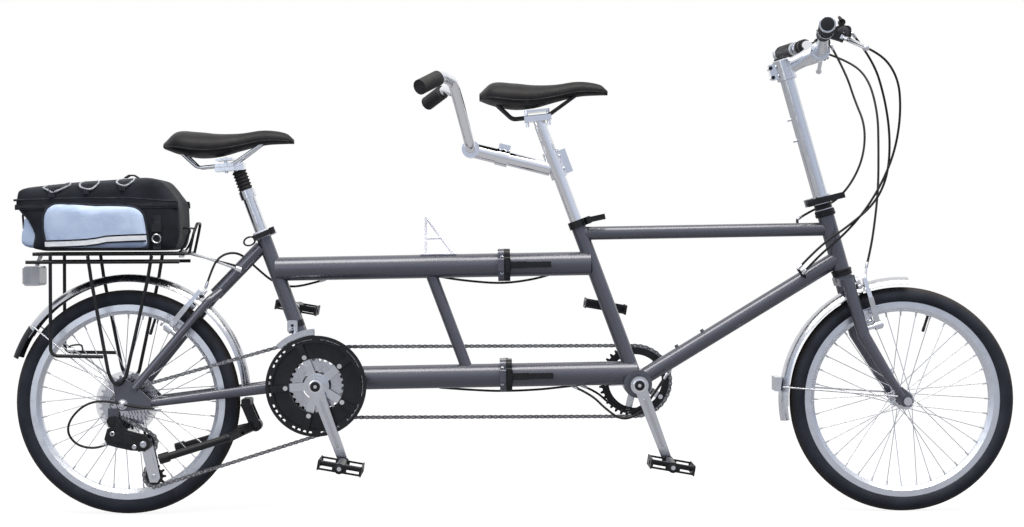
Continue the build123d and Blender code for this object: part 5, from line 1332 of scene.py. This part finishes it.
def make_brake_details():
    """Arm bolts, wire and rubber boot of both rim brakes."""
    for name, body, base, up, out in (("rear", "rear_frame", spot(114, 0, 382), unit(50.2), unit(140.2)),
                                      ("front", "fork", spot(1567, 0, 390.5), HEAD_UP, HEAD_AHEAD)):
        for side, word in ((-1, "right"), (1, "left")):
            arm = f"{name}_brake_{word}"
            outward = LEFT * side
            piece = Piece(arm + "_fittings", "steel")
            piece.bolt(base + outward * 45 * MM + out * 42 * MM, out, 6, 3.4)
            top = base + up * 88 * MM + outward * 38 * MM + out * 22 * MM
            piece.use("alloy").lathe(top, outward, [(-5, 5), (3, 5), (4, 4)], 16)
            piece.use("steel").bolt(top + outward * 3 * MM, outward, 3.4, 2.4)
            piece.done(arm, "polished_alloy")
        lead = Piece(name + "_brake_noodle", "steel")
        middle = base + up * 90 * MM + out * 22 * MM
        left, right = middle + LEFT * 34 * MM, middle - LEFT * 30 * MM
        lead.tube([left, left.lerp(right, 0.5), right], 0.9)
        lead.use("black_plastic")
        for step in range(6):
            lead.lathe(left.lerp(right, 0.3 + step * 0.09), LEFT, [(-2.6, 2.4), (0, 3.6), (2.6, 2.4)], 14)
        lead.done(body, "polished_alloy")


def make_derailleur_details():
    """A cover with bolts and a cable adjuster on the rear derailleur, and a cover on its cage."""
    piece = Piece("rear_derailleur_cover", "black")
    inner, outer = -69, -82
    outline = [(-30, 190), (-36, 168), (-30, 156), (-8, 150), (20, 144), (50, 142), (61, 152), (56, 168),
               (34, 176), (8, 184), (-6, 200)]
    piece.slab(side_view(outline, inner), LEFT * (outer - inner) * MM, 2.0)
    outline = [(-22, 186), (-22, 166), (16, 156), (34, 158), (24, 170), (-4, 182)]
    piece.use("black_plastic").slab(side_view(outline, outer), LEFT * -3 * MM, 1.2)
    piece.use("steel")
    for ahead, up, radius in ((-18, 180, 5), (28, 152, 5), (*GUIDE_PLACE, 7)):
        piece.bolt(spot(ahead, outer - 1, up), -LEFT, radius, 3)
    piece.lathe(spot(-30, -76, 160), unit(205), [(0, 4.4), (5, 4.4), (6, 3.4), (12, 3.4)], 14)
    piece.done("rear_frame", "black_metal")
    cage = Piece("derailleur_cage_cover", "alloy")
    outline = [(40, 160), (54, 162), (72, 92), (76, 84), (70, 74), (58, 76), (54, 90)]
    cage.slab(side_view(outline, -60), LEFT * -1.6 * MM, 0.8)
    cage.use("steel").bolt(spot(TENSION_PLACE[0], -61, TENSION_PLACE[1]), -LEFT, 5, 2.4)
    cage.use("bright").bolt(spot(47, -61, 150), -LEFT, 3.4, 1.6)
    cage.done("derailleur_cage", "polished_alloy")


def make_hinge_details():
    """Bolts through the plates of the two folding joints."""
    for name, up in (("upper", 530.7), ("lower", 293.9)):
        piece = Piece(name + "_hinge_bolts", "steel")
        for height in (-16, 16):
            for side in SIDES:
                piece.bolt(spot(803, side * 29, up + height), LEFT * side, 4, 2.4)
        piece.done("rear_frame", "black_metal")


def make_rack_details():
    """The carrier's front hoop, rail tip, stay with its clamp, and a wire loop low on its side."""
    piece = Piece("rack_fittings", "black")
    piece.use("bright").lathe(spot(115, -34, 553), unit(0), [(0, 3.9), (10, 3.6), (12, 2.4)], 14)
    piece.use("black")
    hoop = [(105, 560), (116, 562), (126, 575), (134, 596), (138, 606), (134, 612), (124, 611), (120, 606)]
    for left in (-30, 30):
        piece.tube(curve_through(side_view(hoop, left), 42), 2.2)
    piece.tube([spot(134, left, 612) for left in (-30, -10, 10, 30)], 2.2)
    piece.use("steel").tube([spot(119, -16, 565), spot(180, -17, 545), spot(246, -19, 521)], 2.6)
    slope = unit(-20)
    clamp = [(0, 5), (1, 6), (13, 6), (14, 5)]
    piece.use("bright").lathe(spot(240, -19, 524) - slope * 7 * MM, slope, clamp, 16)
    loop = [(-112, 350), (-112, 362), (-100, 366), (-86, 365), (-84, 352)]
    piece.use("black").tube(curve_through(side_view(loop, -66), 24), 1.8)
    piece.use("bright").lathe(spot(-104, -66, 356), unit(0), [(-12, 4), (-10, 5.4), (0, 5.4), (2, 4)], 14)
    piece.done("rear_frame", "black_metal")


# ---- light, floor and camera ----
FLOOR_HALF = 14


def make_floor():
    """A pale floor that the camera sees as white with a soft shadow, and that throws up little light."""
    material, shader = surface("floor_white", (0.5, 0.5, 0.5), 0.9, 0.0, Specular_IOR_Level=0.0)
    output = material.node_tree.nodes["Material Output"]
    path = node(material, "ShaderNodeLightPath")
    camera = path.outputs["Is Camera Ray"]
    gloss = combine(material, "MAXIMUM", path.outputs["Is Glossy Ray"], path.outputs["Is Transmission Ray"])
    shares = combine(material, "MAXIMUM", combine(material, "MULTIPLY", gloss, 0.26),
                     combine(material, "MULTIPLY", camera, 0.62))
    tone = ramp(material, camera, (0.0, (0.13, 0.13, 0.15)), (1.0, (0.46, 0.46, 0.47)))
    link(material, tone, shader.inputs["Base Color"])
    glow = node(material, "ShaderNodeEmission", Strength=1.42)
    mix = node(material, "ShaderNodeMixShader")
    for index, source in enumerate((shares, shader.outputs[0], glow.outputs[0])):
        link(material, source, mix.inputs[index])
    link(material, mix.outputs[0], output.inputs["Surface"])
    mesh = bpy.data.meshes.new("floor")
    corners = [(x * FLOOR_HALF, y * FLOOR_HALF, 0) for x, y in ((-1, -1), (1, -1), (1, 1), (-1, 1))]
    mesh.from_pydata(corners, [], [(0, 1, 2, 3)])
    mesh.materials.append(material)
    floor = bpy.data.objects.new("floor", mesh)
    bpy.context.scene.collection.objects.link(floor)


def mixed(owner, factor, first, second):
    """A blend of two colours; the second may be given as a value."""
    mix = node(owner, "ShaderNodeMix", data_type="RGBA")
    link(owner, factor, mix.inputs["Factor"])
    link(owner, first, mix.inputs[6])
    if isinstance(second, tuple):
        mix.inputs[7].default_value = second
    else:
        link(owner, second, mix.inputs[7])
    return mix.outputs[2]


def make_world():
    """White behind the bicycle; the light comes from a cool room in front and a warm, bright ceiling."""
    world = bpy.data.worlds.new("studio")
    bpy.context.scene.world = world
    world.use_nodes = True
    background = world.node_tree.nodes["Background"]
    coordinates = node(world, "ShaderNodeTexCoord")
    split = node(world, "ShaderNodeSeparateXYZ")
    link(world, coordinates.outputs["Generated"], split.inputs[0])
    path = node(world, "ShaderNodeLightPath")
    shine = ramp(world, split.outputs["Z"], (0.0, (0.5, 0.55, 0.66)), (0.3, (0.66, 0.71, 0.82)),
                 (0.6, (0.9, 0.91, 0.95)), (0.95, (1.0, 0.98, 0.95)))
    room = ramp(world, split.outputs["Z"], (0.0, (0.2, 0.24, 0.33)), (0.3, (0.36, 0.41, 0.52)),
                (0.6, (0.72, 0.73, 0.76)), (0.95, (1.0, 0.96, 0.9)))
    behind = ramp(world, split.outputs["Y"], (0.05, 0.0), (0.4, 1.0))
    gloss = combine(world, "MAXIMUM", path.outputs["Is Glossy Ray"], path.outputs["Is Transmission Ray"])
    backdrop = combine(world, "MULTIPLY", gloss, behind)
    white = combine(world, "MAXIMUM", path.outputs["Is Camera Ray"], backdrop)
    seen = mixed(world, white, mixed(world, gloss, room, shine), (1, 1, 1, 1))
    link(world, seen, background.inputs["Color"])
    background.inputs["Strength"].default_value = 1.0


def make_lamp(name, location, size, power, colour):
    """A rectangular lamp that points at the bicycle's middle."""
    lamp = bpy.data.lights.new(name, "AREA")
    lamp.shape = "RECTANGLE"
    lamp.size, lamp.size_y = size
    lamp.energy = power
    lamp.color = colour
    holder = bpy.data.objects.new(name, lamp)
    holder.location = location
    holder.rotation_euler = (Vector((0, 0, 0.5)) - Vector(location)).to_track_quat("-Z", "Y").to_euler()
    bpy.context.scene.collection.objects.link(holder)


CAMERA_DISTANCE = 3.9
VIEW_WIDTH = 2.2006
CAMERA_FOOT = (-0.0493, 0.595)
PICTURE_SHIFT = (0.0215, -0.0278)
CAMERA_ROLL = math.radians(-0.215)


def make_camera():
    """A level camera at the bicycle's side, a little behind its middle."""
    camera = bpy.data.cameras.new("camera")
    camera.sensor_fit = "HORIZONTAL"
    camera.angle = 2 * math.atan(VIEW_WIDTH / 2 / CAMERA_DISTANCE)
    camera.shift_x, camera.shift_y = PICTURE_SHIFT
    holder = bpy.data.objects.new("camera", camera)
    turn = Matrix.Rotation(math.radians(90), 4, "X") @ Matrix.Rotation(CAMERA_ROLL, 4, "Z")
    holder.matrix_world = Matrix.Translation((CAMERA_FOOT[0], -CAMERA_DISTANCE, CAMERA_FOOT[1])) @ turn
    bpy.context.scene.collection.objects.link(holder)
    bpy.context.scene.camera = holder


def make_studio():
    make_floor()
    make_world()
    make_lamp("overhead", (0.1, -0.9, 3.0), (4.4, 1.3), 105, (1, 0.95, 0.88))
    make_lamp("side_fill", (-1.8, -3.4, 1.5), (1.2, 1.8), 14, (0.94, 0.97, 1))
    bpy.context.scene.view_settings.view_transform = "Standard"


make_camera()
make_cables()
make_loops()
paint_nodes()
make_chains()
make_nipples()
make_bag_body()
make_bag_trim()
make_elastic()
make_saddle("stoker_saddle", "stoker_saddle", 79, 823)
make_saddle("captain_saddle", "captain_post", 753, 925)
make_boot()
make_grips()
make_shifters()
make_stem()
make_stem_body()
make_headset()
make_cable_stops()
make_chainset_details()
make_pedal_teeth()
make_cassette_details()
make_brake_details()
make_derailleur_details()
make_hinge_details()
make_rack_details()
make_studio()
